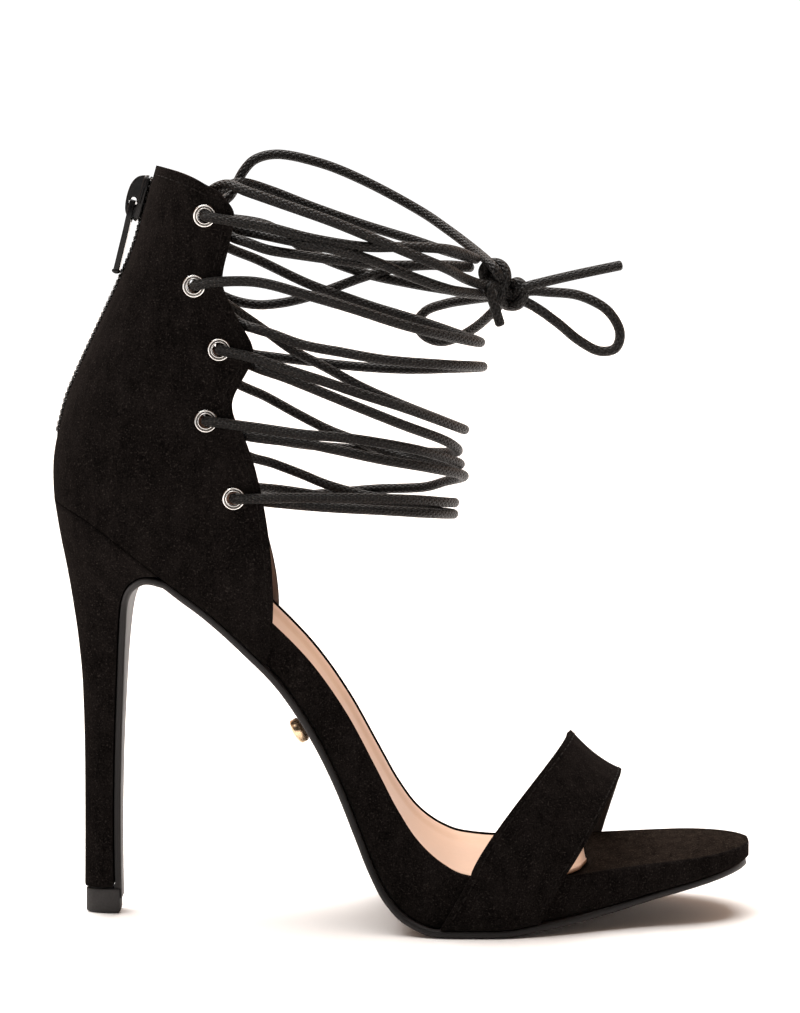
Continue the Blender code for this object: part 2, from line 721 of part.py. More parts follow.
def counter_place(x, z, side):
    """The shares (t, v) of the counter's point that shows at x, z from the side."""
    best = None
    low, high = np.array([0.3, 2.0]), np.array([1.0, float(COUNTER_LAST)])
    for _ in range(5):
        for share in np.linspace(low[0], high[0], 9):
            lines = counter_lines(side * share)
            for v in np.linspace(low[1], high[1], 15):
                point = smooth(lines, v)
                miss = math.hypot(point[0] - x, point[2] - z)
                if best is None or miss < best[0]:
                    best = (miss, share, v)
        reach = (high - low) / 5
        low = np.array(best[1:]) - reach
        high = np.array(best[1:]) + reach
    return side * best[1], best[2]


def counter_frame(t, v):
    """A point on the counter's outside with its outward direction."""
    across = counter_point(t + 0.01, v) - counter_point(t - 0.01, v)
    up = counter_point(t, v + 0.05) - counter_point(t, v - 0.05)
    outward = np.cross(up, across)
    outward /= np.linalg.norm(outward)
    point = counter_point(t, v)
    middle = np.array([-60.0, 0.0, point[2]])
    if outward.dot(point - middle) < 0:
        outward = -outward
    return point, outward


def add_counter(surface, collection, cutters):
    side = [ZIP_SLOT, *np.linspace(0, 0.5, 8)[1:], *np.linspace(0.5, 1.0, 4)[1:]]
    columns = [*[-t for t in reversed(side)], 0.0, *side]
    below = [0.0, 0.9, 1.8]
    above = [3.4, 4.2, 5.0, 5.5, 6.0, 6.5, 7.2, 8.0, 8.6, 9.3, 10.0, 10.5, COUNTER_LAST]
    rows = [*below, ZIP_END, *above]
    middle = len(side)

    def in_slot(column, row):
        return abs(column - middle) < 1 and row > len(below)

    made = sheet("counter", columns, rows, counter_point, COUNTER_WALL, surface, collection, in_slot)
    for name in EYELETS.names:
        for side_name, hand in (("lateral", LATERAL), ("medial", MEDIAL)):
            cutter = eyelet_cutter(f"cut_{side_name}_{name}", eyelet_frame(name, hand), cutters)
            cut(made, cutter)
    return made


def cut(target, cutter):
    difference = target.modifiers.new(cutter.name, "BOOLEAN")
    difference.operation = "DIFFERENCE"
    difference.solver = "EXACT"
    difference.object = cutter


def eyelet_frame(name, hand):
    k = EYELETS.row(name)
    x, z = EYELETS.at("x", k), EYELETS.at("z", k)
    if hand == MEDIAL:
        x -= EYELET_SET_BACK
    return counter_frame(*counter_place(x, z, hand))


def placed(frame):
    """A transform that puts local z along a frame's outward direction."""
    point, outward = frame
    turn = Vector(outward).to_track_quat("Z", "X").to_matrix().to_4x4()
    return Matrix.Translation(metres(point)) @ turn


def eyelet_cutter(name, frame, cutters):
    bm = bmesh.new()
    bmesh.ops.create_cone(
        bm,
        cap_ends=True,
        segments=12,
        radius1=EYELET_CUT * MM,
        radius2=EYELET_CUT * MM,
        depth=12 * MM,
    )
    made = bpy.data.objects.new(name, mesh_from(bm, name))
    cutters.objects.link(made)
    made.matrix_world = placed(frame)
    made.hide_render = True
    made.display_type = "WIRE"
    return made


def strap_value(name, w):
    """A value of the strap between its rear edge (w = 0) and its front edge (w = 1)."""
    return lerp(*STRAP.values[name], w)


def strap_arch(w, theta):
    """A point of the strap's arch, theta from the lateral rim over to the medial."""
    skin = STRAP_CLEAR + STRAP_WALL
    feet = []
    for name, hand in (("rim_lateral", LATERAL), ("rim_medial", MEDIAL)):
        s = station_at_rim(strap_value(name, w))
        x, z = rim(s)
        feet.append(np.array([x, edge(s, hand) + hand * skin, z]))
    lateral, medial = feet
    rise = math.sin(theta) ** ARCH_POWER
    if theta < math.pi / 2:
        foot, lean = lateral, strap_value("lean_lateral", w)
    else:
        foot, lean = medial, strap_value("lean_medial", w)
    x = lerp(foot[0], strap_value("crest_x", w), rise**lean) - STRAP_TILT * math.cos(theta) * rise
    y = lerp(lateral[1], medial[1], (1 - math.cos(theta)) / 2)
    crest_z = strap_value("crest_z", w) - STRAP_SAG * 4 * w * (1 - w)
    return np.array([x, y, lerp(foot[2], crest_z, rise)])


def strap_skirt(w, side_name, hand, share):
    """A point on the strap's end beside the footbed, a share of the way up from the sole."""
    low = station_at_x(strap_value("sole_" + side_name, w))
    high = station_at_rim(strap_value("rim_" + side_name, w))
    s = lerp(low, high, share)
    x, z = lerp(bottom(s), rim(s), share)
    return np.array([x, edge(s, hand) + hand * (STRAP_CLEAR + STRAP_WALL), z])


def strap_point(u, w):
    """A point of the strap: u 0 to 1 and 3 to 4 are its ends, 1 to 3 its arch, w from rear to front."""
    if u < 1:
        return strap_skirt(w, "lateral", LATERAL, u)
    if u > 3:
        return strap_skirt(w, "medial", MEDIAL, 4 - u)
    return strap_arch(w, math.pi * (u - 1) / 2)


def add_strap(surface, collection):
    columns = [*np.linspace(0, 1, 4)[:-1], *np.linspace(1, 3, 19), *np.linspace(3, 4, 4)[1:]]
    rows = np.linspace(0, 1, 5)
    return sheet("toe_strap", columns, rows, strap_point, STRAP_WALL, surface, collection)


# Zip and metal pieces
def turned(name, profile, segments, surface, collection, closed):
    """A turned solid: a profile of (radius, height) pairs round local z."""
    bm = bmesh.new()
    verts = [bm.verts.new((r * MM, 0.0, h * MM)) for r, h in profile]
    for low, high in zip(verts, verts[1:]):
        bm.edges.new((low, high))
    if closed:
        bm.edges.new((verts[-1], verts[0]))
    made = add_object(name, mesh_from(bm, name), surface, collection)
    screw = made.modifiers.new("turn", "SCREW")
    screw.angle = 2 * math.pi
    screw.steps = segments
    screw.render_steps = segments
    screw.use_merge_vertices = True
    screw.merge_threshold = 0.00001
    return made


def flat_outline(name, outlines, half_thick, surface, collection):
    """A flat piece: closed outlines in millimetres, the first outside and the others cut out of it."""
    curve = bpy.data.curves.new(name, "CURVE")
    curve.dimensions = "2D"
    curve.fill_mode = "BOTH"
    curve.extrude = half_thick * MM
    for outline in outlines:
        spline = curve.splines.new("POLY")
        spline.points.add(len(outline) - 1)
        spline.use_cyclic_u = True
        for point, (x, y) in zip(spline.points, outline):
            point.co = (x * MM, y * MM, 0.0, 1.0)
    drawn = bpy.data.objects.new(name + "_outline", curve)
    bpy.context.scene.collection.objects.link(drawn)
    depsgraph = bpy.context.evaluated_depsgraph_get()
    mesh = bpy.data.meshes.new_from_object(drawn.evaluated_get(depsgraph))
    bpy.data.objects.remove(drawn, do_unlink=True)
    bm = bmesh.new()
    bm.from_mesh(mesh)
    bmesh.ops.remove_doubles(bm, verts=bm.verts, dist=0.000001)
    bmesh.ops.recalc_face_normals(bm, faces=bm.faces)
    bm.to_mesh(mesh)
    bm.free()
    return add_object(name, mesh, surface, collection)


def circle(centre, radius, count, start=0.0, sweep=2 * math.pi):
    angles = [start + sweep * k / count for k in range(count)]
    return [(centre[0] + radius * math.cos(a), centre[1] + radius * math.sin(a)) for a in angles]


def join_on(target, tool, cutters):
    """Join a tool object onto a target."""
    union = target.modifiers.new(tool.name, "BOOLEAN")
    union.operation = "UNION"
    union.solver = "EXACT"
    union.object = tool
    for holder in list(tool.users_collection):
        holder.objects.unlink(tool)
    cutters.objects.link(tool)
    tool.hide_render = True
    tool.display_type = "WIRE"


def add_eyelets(surface, collection):
    outer = EYELET_FLANGE
    inner_end = -COUNTER_WALL - 0.5
    profile = [(outer - 0.5, 1.0), (outer, 0.4), (EYELET_BARREL, 0.4), (EYELET_BARREL, inner_end)]
    profile += [(EYELET_HOLE, inner_end), (EYELET_HOLE, 0.75)]
    for name in EYELETS.names:
        for side_name, hand in (("lateral", LATERAL), ("medial", MEDIAL)):
            made = turned(f"eyelet_{side_name}_{name}", profile, 12, surface, collection, closed=True)
            made.matrix_world = placed(eyelet_frame(name, hand))


def chain_frame(v):
    """A point of the zip's line with its outward and upward directions."""
    point = counter_point(0.0, v)
    up = counter_point(0.0, v + 0.05) - counter_point(0.0, v - 0.05)
    up /= np.linalg.norm(up)
    return point, np.array([-up[2], 0.0, up[0]]), up


def add_zip_chain(surface, collection):
    profile = [(-CHAIN_HALF, -1.8), (CHAIN_HALF, -1.8), (CHAIN_HALF, 0.3)]
    profile += [(CHAIN_HALF - 0.7, 0.8), (-CHAIN_HALF + 0.7, 0.8), (-CHAIN_HALF, 0.3)]
    rings = []
    for v in np.linspace(ZIP_END + 0.08, ZIP_TOP, 19):
        point, out, _ = chain_frame(v)
        rings.append([point + out * n + np.array([0.0, y, 0.0]) for y, n in profile])
    return loft("zip_chain", rings, surface, collection)


def slider_matrix(out_by, up_by):
    """The slider's directions: local x out from the chain, local z up along it."""
    places = np.linspace(ZIP_END, COUNTER_LAST, 200)
    v = min(places, key=lambda place: abs(counter_point(0.0, place)[2] - SLIDER_Z))
    point, out, up = chain_frame(v)
    turn = Matrix((Vector(out), Vector((0.0, -1.0, 0.0)), Vector(up))).transposed()
    return Matrix.Translation(metres(point + out * out_by + up * up_by)) @ turn.to_4x4()


def add_zip_slider(surface, collection, cutters):
    rail, wide = 2.8, 3.8
    outline = [(0.45, -wide), (2.0, -wide), (2.35, -wide + 0.6), (2.35, wide - 0.6), (2.0, wide), (0.45, wide)]
    outline += [(0.45, rail), (1.3, rail), (1.3, -rail), (0.45, -rail)]
    made = flat_outline("zip_slider", [outline], SLIDER_HALF, surface, collection)
    made.matrix_world = slider_matrix(0.0, 0.0)
    low = 2.1
    crown = [(low, -6.5), (3.9, -6.3), (5.1, -5.0), (5.7, -3.0), (5.95, -0.5)]
    crown += [(5.9, 1.5), (5.6, 3.4), (4.6, 5.4), (3.4, 6.3), (low, 6.5)]
    slot = circle((HINGE_OUT, HINGE_UP), HINGE_HOLE, 8, math.pi, math.pi * 8 / 7)
    slot += circle((HINGE_OUT - 0.15, HINGE_UP + 2.0), HINGE_HOLE - 0.2, 8, 0.0, math.pi * 8 / 7)
    eye = flat_outline("slider_crown", [crown, slot], CROWN_HALF, surface, collection)
    upright = Matrix.Rotation(math.pi / 2, 4, "X")
    eye.matrix_world = slider_matrix(0.0, 0.0) @ upright
    join_on(made, eye, cutters)
    return made


def add_zip_pull(surface, collection):
    bar, leg, wide = 0.65, 1.6, 2.9
    neck, end = 5.8, 21.0
    outline = [(-wide, -neck), (-wide, 0.2), (-wide + 0.5, bar), (wide - 0.5, bar), (wide, 0.2), (wide, -neck)]
    outline += [(2.3, -neck - 1.6), (2.6, -end + 0.9), (2.0, -end)]
    outline += [(-2.0, -end), (-2.6, -end + 0.9), (-2.3, -neck - 1.6)]
    opening = [(-leg, -neck + 0.2), (leg, -neck + 0.2), (leg, -bar), (-leg, -bar)]
    made = flat_outline("zip_pull", [outline, opening], PULL_THICK / 2, surface, collection)
    up = Vector((math.sin(PULL_LEAN), 0.0, math.cos(PULL_LEAN)))
    wide_way = Vector((0.0, 1.0, 0.0))
    turn = Matrix((wide_way, up, wide_way.cross(up))).transposed()
    hinge = slider_matrix(HINGE_OUT, HINGE_UP).translation
    made.matrix_world = Matrix.Translation(hinge) @ turn.to_4x4()
    return made


def add_stud(surface, collection):
    s = station_at_x(STUD_X)
    x, z = tread_point(s)
    along = bottom(s + 0.02) - bottom(s - 0.02)
    along /= np.linalg.norm(along)
    outward = np.array([along[1], 0.0, -along[0]])
    profile = [(0.0, 5.0), (2.0, 4.8), (3.2, 4.2), (STUD_RADIUS, 3.5), (STUD_RADIUS, 2.8)]
    profile += [(STUD_NECK, 2.4), (STUD_NECK, GAP), (0.0, GAP)]
    made = turned("sole_stud", profile, 12, surface, collection, closed=False)
    made.matrix_world = placed((np.array([x, STUD_Y, z]), outward))
    return made


# The lace
def lace_y(x, tip_x, hand, offset):
    """How far out a run lies at x, in a layer offset from the ankle's line."""
    share = min(max((x - LACE_TURN_X) / (tip_x + offset - LACE_TURN_X), 0.0), 1.0)
    return hand * (LACE_HALF + offset) * math.sqrt(1 - share**2)


def run_points(layers, lateral, tip, medial):
    points = []
    for hand, layer, side in ((LATERAL, layers[0], lateral), (MEDIAL, layers[1], medial)):
        for k, (x, z) in enumerate(side):
            near_eyelet = 1 - k / len(side) if hand == LATERAL else (k + 1) / len(side)
            offset = LACE_LAYER * layer * min(1.0, 1.6 * near_eyelet)
            points.append((x, lace_y(x, tip[0], hand, offset), z))
        if hand == LATERAL:
            points.append((tip[0], 0.0, tip[1]))
    return points


def route(points, spacing):
    """Evenly spaced points on a smooth curve through a route's points."""
    points = np.array(points, float)
    fine = np.array([smooth(points, place) for place in np.linspace(0, len(points) - 1, 20 * len(points))])
    far = np.concatenate([[0.0], np.cumsum(np.linalg.norm(np.diff(fine, axis=0), axis=1))])
    count = max(3, round(far[-1] / spacing) + 1)
    return np.array([[np.interp(d, far, fine[:, k]) for k in range(3)] for d in np.linspace(0, far[-1], count)])


def thinned(points, bend, longest):
    """A route without the points where it runs nearly straight."""
    kept = [0]
    for k in range(1, len(points) - 1):
        before = points[k] - points[kept[-1]]
        after = points[k + 1] - points[k]
        cosine = before.dot(after) / np.linalg.norm(before) / np.linalg.norm(after)
        if math.acos(min(cosine, 1.0)) > bend or np.linalg.norm(before) > longest:
            kept.append(k)
    return points[[*kept, len(points) - 1]]


def cord(name, points, surface, collection):
    """A round cord along points in millimetres, as a mesh."""
    curve = bpy.data.curves.new(name, "CURVE")
    curve.dimensions = "3D"
    curve.bevel_depth = CORD / 2 * MM
    curve.bevel_resolution = 2
    curve.use_fill_caps = True
    spline = curve.splines.new("POLY")
    spline.points.add(len(points) - 1)
    for target, point in zip(spline.points, points):
        target.co = (*metres(point), 1.0)
    drawn = bpy.data.objects.new(name + "_route", curve)
    bpy.context.scene.collection.objects.link(drawn)
    depsgraph = bpy.context.evaluated_depsgraph_get()
    mesh = bpy.data.meshes.new_from_object(drawn.evaluated_get(depsgraph))
    bpy.data.objects.remove(drawn, do_unlink=True)
    bm = bmesh.new()
    bm.from_mesh(mesh)
    bmesh.ops.remove_doubles(bm, verts=bm.verts, dist=0.000001)
    bmesh.ops.recalc_face_normals(bm, faces=bm.faces)
    bm.to_mesh(mesh)
    bm.free()
    return add_object(name, mesh, surface, collection)


def tie_points(name, first_side):
    """A tie's points in order, from its eyelet to the knot."""
    out, tip, back, cuff, forward, knot = LACE_TIES[name]
    points = []
    for hand, side in ((first_side, out), (-first_side, back)):
        points += [(x, lace_y(x, tip[0], hand, LACE_LAYER), z) for x, z in side]
        if hand == first_side:
            points.append((tip[0], 0.0, tip[1]))
    points += cuff
    points += [(x, lace_y(x, LACE_KNOT[0], first_side, LACE_LAYER), z) for x, z in forward]
    return [*points, *knot]


def add_knot(surface, collection, cutters):
    """Two turns of the cord round a core, pulled tight."""
    radius = CORD / 2
    angles = np.linspace(0, -2 * math.pi, 9)[:-1]
    ring = [(KNOT_RADIUS + radius * math.cos(a), radius * math.sin(a)) for a in angles]
    along = np.array(KNOT_TURNS[1]) - np.array(KNOT_TURNS[0])
    made = turned("lace_knot", ring, 12, surface, collection, closed=True)
    made.matrix_world = placed((KNOT_TURNS[0], along))
    other = turned("knot_turn", ring, 12, surface, collection, closed=True)
    other.matrix_world = placed((KNOT_TURNS[1], along))
    bm = bmesh.new()
    bmesh.ops.create_uvsphere(bm, u_segments=12, v_segments=8, radius=2.9 * MM)
    core = add_object("knot_core", mesh_from(bm, "knot_core"), surface, collection)
    core.matrix_world = placed((LACE_KNOT, along)) @ Matrix.Diagonal((0.93, 0.93, 1.75, 1.0))
    join_on(made, core, cutters)
    join_on(made, other, cutters)
    return made


def add_lace(surface, collection, cutters):
    """The crossings and ties as one joined solid, and the bow's free pieces."""
    routes = {name: run_points(*run) for name, run in LACE_RUNS.items()}
    routes["tie_lateral"] = tie_points("lateral", LATERAL)
    routes["tie_medial"] = tie_points("medial", MEDIAL)
    for group, names in LACE_GROUPS.items():
        runs = []
        for name in names:
            points = thinned(route(routes[name], 2 * CORD), math.radians(14), 6 * CORD)
            runs.append(cord(name, points, surface, collection))
        joined = runs[0]
        joined.name = "lace_crossing_" + group
        for run in runs[1:]:
            join_on(joined, run, cutters)
    add_knot(surface, collection, cutters)
    for name, points in LACE_BOW.items():
        cord("lace_" + name, route(points, 2 * CORD), surface, collection)


def main():
    for old in list(bpy.data.objects):
        bpy.data.objects.remove(old, do_unlink=True)
    shoe = add_collection("lace_up_sandal")
    cutters = add_collection("cutters")
    suede = material("black_suede", (0.012, 0.011, 0.011), 0.95)
    sole = material("black_sole", (0.015, 0.014, 0.014), 0.25)
    tan = material("tan_lining", (0.72, 0.47, 0.33), 0.6)
    rubber = material("dark_rubber", (0.035, 0.033, 0.033), 0.7)
    nickel = material("bright_nickel", (0.78, 0.78, 0.78), 0.18, 1.0)
    coil = material("zip_coil", (0.014, 0.013, 0.014), 0.5)
    gunmetal = material("dark_metal", (0.03, 0.028, 0.03), 0.2, 0.9)
    gold = material("gold", (0.83, 0.60, 0.25), 0.25, 1.0)
    waxed = material("waxed_cord", (0.02, 0.018, 0.017), 0.45)
    add_outsole(sole, shoe)
    add_heel(suede, shoe)
    add_heel_tip(rubber, shoe)
    add_footbed(suede, shoe)
    add_insole(tan, shoe)
    add_strap(suede, shoe)
    add_counter(suede, shoe, cutters)
    add_eyelets(nickel, shoe)
    add_zip_chain(coil, shoe)
    add_zip_slider(gunmetal, shoe, cutters)
    add_zip_pull(gunmetal, shoe)
    add_stud(gold, shoe)
    add_lace(waxed, shoe, cutters)


main()
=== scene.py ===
"""Looks of the lace-up stiletto sandal: smooth suede, lining, sole, metal and lace over the solids.

Sizes are millimetres, scaled to metres where a mesh is made. The tables of the shapes follow those
of the solids, with small corrections, and are read here at a finer step.
"""

import math

import bmesh
import bpy
import numpy as np
from mathutils import Matrix, Vector


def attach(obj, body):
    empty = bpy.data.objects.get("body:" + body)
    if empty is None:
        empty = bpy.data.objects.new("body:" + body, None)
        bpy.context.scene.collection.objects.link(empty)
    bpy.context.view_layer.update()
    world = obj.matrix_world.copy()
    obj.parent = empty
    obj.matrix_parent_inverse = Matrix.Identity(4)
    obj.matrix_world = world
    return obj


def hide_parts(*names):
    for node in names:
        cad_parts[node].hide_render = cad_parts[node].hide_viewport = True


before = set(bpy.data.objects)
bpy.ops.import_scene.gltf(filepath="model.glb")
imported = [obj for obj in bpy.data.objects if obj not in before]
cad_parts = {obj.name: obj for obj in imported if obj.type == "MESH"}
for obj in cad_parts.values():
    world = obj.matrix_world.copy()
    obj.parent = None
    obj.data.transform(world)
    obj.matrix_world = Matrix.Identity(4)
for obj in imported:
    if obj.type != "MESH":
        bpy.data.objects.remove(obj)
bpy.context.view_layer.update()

# The camera of the photograph, in the tables' millimetres and in pixels
CAMERA_PLACE = (8.26, -946.16, 203.8)
CAMERA_TARGET = (0.0, 0.0, 118.85)
CAMERA_FOCAL = 3277.5
IMAGE_HEIGHT = 1013

# The floor's reach and its drop below the shoe, in metres
FLOOR_REACH = 6.0
FLOOR_DROP = 0.0002

MM = 0.001
GAP = 0.3
LATERAL = -1
MEDIAL = 1
ORIGIN = np.array([0.37, 0.63, 0.0])

# Driving sizes
OUTSOLE_THICK = 2.0
INSOLE_THICK = 1.0
INSOLE_FRONT_X = 54.3
INSOLE_CORNER = 20.0
RECESS_PAST = 3.0
RECESS_FADE = 2.5
RIM_LAND = 1.5
COUNTER_WALL = 2.2
STRAP_WALL = 1.8
STRAP_CLEAR = 0.45
HEEL_ROUND = 27.0
TOE_ROUND = 21.7
CORD = 2.9

# Fine sizes. The footbed's edges are rounded less where it is narrower or lower than the full sizes.
FOOTBED_LOW_ROUND = 0.8
FOOTBED_TOP_ROUND = 1.2
FOOTBED_FULL_HALF = 8.0
FOOTBED_FULL_HEIGHT = 5.0
INSOLE_SOFT_EDGE = 0.9
INSOLE_HOLLOW = 0.6
INSOLE_MEDIAL_HOLLOW = 0.45
INSOLE_LEAST = 0.25
BRAID_PITCH = 1.9
BRAID_STRANDS = 7
STITCH_LENGTH = 2.3
STITCH_GAP = 0.6
STITCH_RADIUS = 0.21
COUNTER_STITCH_INSET = 2.6
STRAP_STITCH_INSET = 1.6
STRAP_WIDTH = 25.0
COIL_PITCH = 1.7
COIL_RADIUS = 0.38
COIL_POINTS = 14
COIL_MIDDLE = 0.66
COIL_WIDE = 1.06
COIL_LIFT = 0.12
COIL_TALL = 0.52
EYELET_CUT_DEPTH = 9.0
EYELET_BASE = 0.2
HOLE_BEAD = 0.18
RIM_BEAD = 0.29
STUD_SIDE = 3.1
STUD_DOME = 1.1
SLIDER_WIDE = 3.7
SLIDER_LOW = 1.32
SLIDER_HIGH = 2.35
SLIDER_ROUND = 0.7

# Fine profiles: the outsole's edge as (inset, height), the heel's foot and its tip as (size, lift),
# the core of the zip's chain as (across, out), its slider's rail as (out, across) and crown as (out, up).
SOLE_EDGE = (
    (0.9, 0.0), (0.55, 0.08), (0.2, 0.4), (0.05, 0.7), (0.0, 0.85), (0.0, 1.5), (0.1, 1.85), (0.4, 2.0),
)
TONGUE_HEIGHTS = (4.3, 4.6, 7.2)
TONGUE_THIN = 0.25
TREAD_REAR_X = -60.0
TREAD_TOE_INSET = 1.6
HEEL_FOOT = ((0.86, 0.0), (0.94, 0.1), (0.98, 0.35))
HEEL_FOOT_LIFT = 0.8
TIP_RINGS = (
    (0.93, 0.0), (0.975, 0.12), (1.0, 0.5), (1.0, 2.4), (0.995, 4.8), (1.0, 6.5), (0.98, 6.9), (0.94, 7.0),
)
CHAIN_PROFILE = (
    (-2.3, -1.75), (2.3, -1.75), (2.35, -1.2), (1.6, -0.75), (0.0, -0.6), (-1.6, -0.75), (-2.35, -1.2),
)
SLIDER_RAIL = ((0.45, 2.8), (0.45, 3.6), (0.7, 3.75), (1.6, 3.75), (1.6, 2.8))
SLIDER_CROWN = (
    (2.1, -6.5), (3.9, -6.3), (5.1, -5.0), (5.7, -3.0), (5.95, -0.5),
    (5.9, 1.5), (5.6, 3.4), (4.6, 5.4), (3.4, 6.3), (2.1, 6.5),
)
# A tube's rounded end as (reach, size) in radii, and a stitch as (share of its length, lift).
TUBE_END = ((0.18, 0.95), (0.42, 0.75), (0.55, 0.35))
STITCH_LIFT = ((0.0, -0.35), (0.12, -0.06), (0.35, 0.05), (0.65, 0.05), (0.88, -0.06), (1.0, -0.35))


class Table:
    """Rows of named columns, read between the rows along a smooth curve."""

    def __init__(self, columns, rows):
        self.names = [row[0] for row in rows]
        self.last = len(rows) - 1
        self.values = {name: np.array([row[1 + i] for row in rows], float) for i, name in enumerate(columns)}

    def at(self, column, place):
        return smooth(self.values[column], place)

    def row(self, name):
        return self.names.index(name)


def smooth(rows, place):
    """Value at a place along the rows (0 is the first), on a smooth curve that never overshoots."""
    rows = np.asarray(rows, float)
    step = np.diff(rows, axis=0)
    before, after = step[:-1], step[1:]
    same_way = before * after > 0
    total = np.where(same_way, before + after, 1.0)
    inner = np.where(same_way, 2 * before * after / total, 0.0)
    slope = np.concatenate([step[:1], inner, step[-1:]])
    row = int(np.clip(math.floor(place), 0, len(rows) - 2))
    f = place - row
    if f < 0:
        return rows[0] + slope[0] * f
    if f > 1:
        return rows[-1] + slope[-1] * (f - 1)
    start, end = slope[row], slope[row + 1]
    rise = step[row]
    return rows[row] + f * start + f * f * (3 * rise - 2 * start - end) + f**3 * (start + end - 2 * rise)


def lerp(a, b, f):
    return a + (b - a) * f


def clamp(f):
    return min(max(f, 0.0), 1.0)


def round_end(f):
    """Width share of a rounded end, at a share f of the way from the end to full width."""
    return math.sqrt(1 - (1 - clamp(f)) ** 2)


def unit(way):
    return way / np.linalg.norm(way)


def heading(line, place, step):
    """The direction in which a line runs at a place along it."""
    return unit(line(place + step) - line(place - step))


def square_to(way):
    """The direction a quarter turn to the left of another, in the side view."""
    return np.array([-way[1], way[0]])


def facing_out(way, point, middle):
    """A direction, turned round where it leads from a point back to a middle."""
    way = unit(way)
    return -way if way.dot(point - middle) < 0 else way


def distances(points):
    """How far along a line each of its points lies."""
    return np.concatenate([[0.0], np.cumsum(np.linalg.norm(np.diff(points, axis=0), axis=1))])


def point_at(points, places, place):
    """A point between a line's points, each of which has its own place."""
    return np.array([np.interp(place, places, points[:, k]) for k in range(3)])


# The footbed, a row for each section from the heel to the tip of the toe.
# bottom is the line on top of the outsole, rim is the top edge, swing is the middle's y.
# dish is how far the middle lies under the rim, margin is how far the outsole reaches past it.
FOOTBED = Table(
    ("bottom_x", "bottom_z", "rim_x", "rim_z", "swing", "half_width", "dish", "margin"),
    [
        ("heel end", -97.8, 121.0, -97.4, 127.0, 0.0, 26.0, 1.5, 2.3),
        ("heel seat", -90.0, 117.6, -87.0, 124.0, 0.0, 26.0, 2.2, 2.3),
        ("seat", -80.0, 111.0, -75.6, 117.8, 0.0, 26.0, 2.6, 2.3),
        ("breast", -66.0, 100.0, -60.6, 107.2, -0.3, 25.5, 2.6, 2.3),
        ("rear arch", -54.0, 91.0, -47.8, 98.3, -1.0, 24.0, 2.4, 2.3),
        ("arch", -43.0, 80.9, -36.3, 88.0, -1.8, 22.5, 2.4, 2.2),
        ("waist", -33.0, 70.3, -25.0, 76.2, -2.2, 21.7, 2.4, 1.2),
        ("front waist", -23.7, 56.3, -14.8, 61.6, -2.2, 22.0, 2.4, 0.8),
        ("steep arch", -16.6, 42.4, -6.6, 46.4, -1.8, 23.8, 2.3, 0.8),
        ("low arch", -10.9, 28.5, -0.6, 35.0, -1.2, 26.3, 2.0, 0.8),
        ("bend top", -6.6, 18.0, 4.6, 27.2, -0.8, 29.0, 1.8, 0.8),
        ("bend", -2.4, 10.4, 8.8, 23.0, -0.6, 31.3, 1.6, 1.0),
        ("bend foot", 3.5, 4.8, 12.9, 20.1, -0.4, 33.3, 1.5, 1.4),
        ("tread rear", 12.0, 2.3, 18.0, 17.8, -0.2, 35.2, 1.4, 2.0),
        ("tread front", 28.0, 2.3, 29.5, 16.3, 0.6, 36.2, 1.2, 2.2),
        ("strap", 40.0, 3.6, 40.6, 16.1, 2.2, 34.7, 1.0, 2.2),
        ("strap front", 50.0, 5.0, 50.4, 16.4, 3.4, 32.4, 0.6, 1.6),
        ("toe rear", 60.0, 6.9, 60.2, 17.2, 4.5, 30.0, 0.0, 0.2),
        ("toe", 75.0, 10.4, 75.0, 18.3, 5.8, 26.7, -0.5, -0.6),
        ("toe front", 87.0, 13.1, 87.0, 19.2, 6.2, 24.4, -0.6, -0.9),
        ("tip", 102.5, 16.6, 102.5, 20.7, 5.2, 22.5, -0.3, -1.0),
    ],
)

# The outsole's flap down the front of the heel: its front face, from its lower end up to the seat.
FLAP = Table(
    ("x", "z", "half_width"),
    [
        ("end", -81.2, 7.3, 4.5),
        ("stem", -81.3, 24.0, 4.7),
        ("middle", -80.9, 45.0, 5.4),
        ("stem top", -80.0, 66.0, 7.0),
        ("flare", -79.1, 81.0, 9.7),
        ("breast", -78.0, 91.0, 14.2),
        ("turn", -75.6, 96.4, 20.8),
        ("crown", -71.4, 98.7, 25.2),
        ("lip", -66.8, 97.9, 27.3),
    ],
)

# The heel, a row for each ring. breast is the place along the rows of FLAP where its front lies.
HEEL = Table(
    ("back_x", "back_z", "breast"),
    [
        ("foot", -92.3, 7.4, 0.02),
        ("stem", -92.1, 24.0, 1.0),
        ("middle", -92.0, 45.0, 2.0),
        ("stem top", -92.4, 66.0, 3.0),
        ("flare", -93.5, 80.0, 3.95),
        ("bell", -95.0, 91.5, 4.75),
        ("neck", -96.6, 101.5, 5.4),
        ("cup", -98.2, 110.0, 6.1),
        ("lip", -99.2, 116.0, 6.9),
    ],
)
HEEL_ROUND_SHARE = 0.74
HEEL_SEAT_FRONT = 38.0
# The points of a heel's ring, and the share of them on its round back.
HEEL_POINTS = 61
HEEL_BACK_POINTS = 0.64

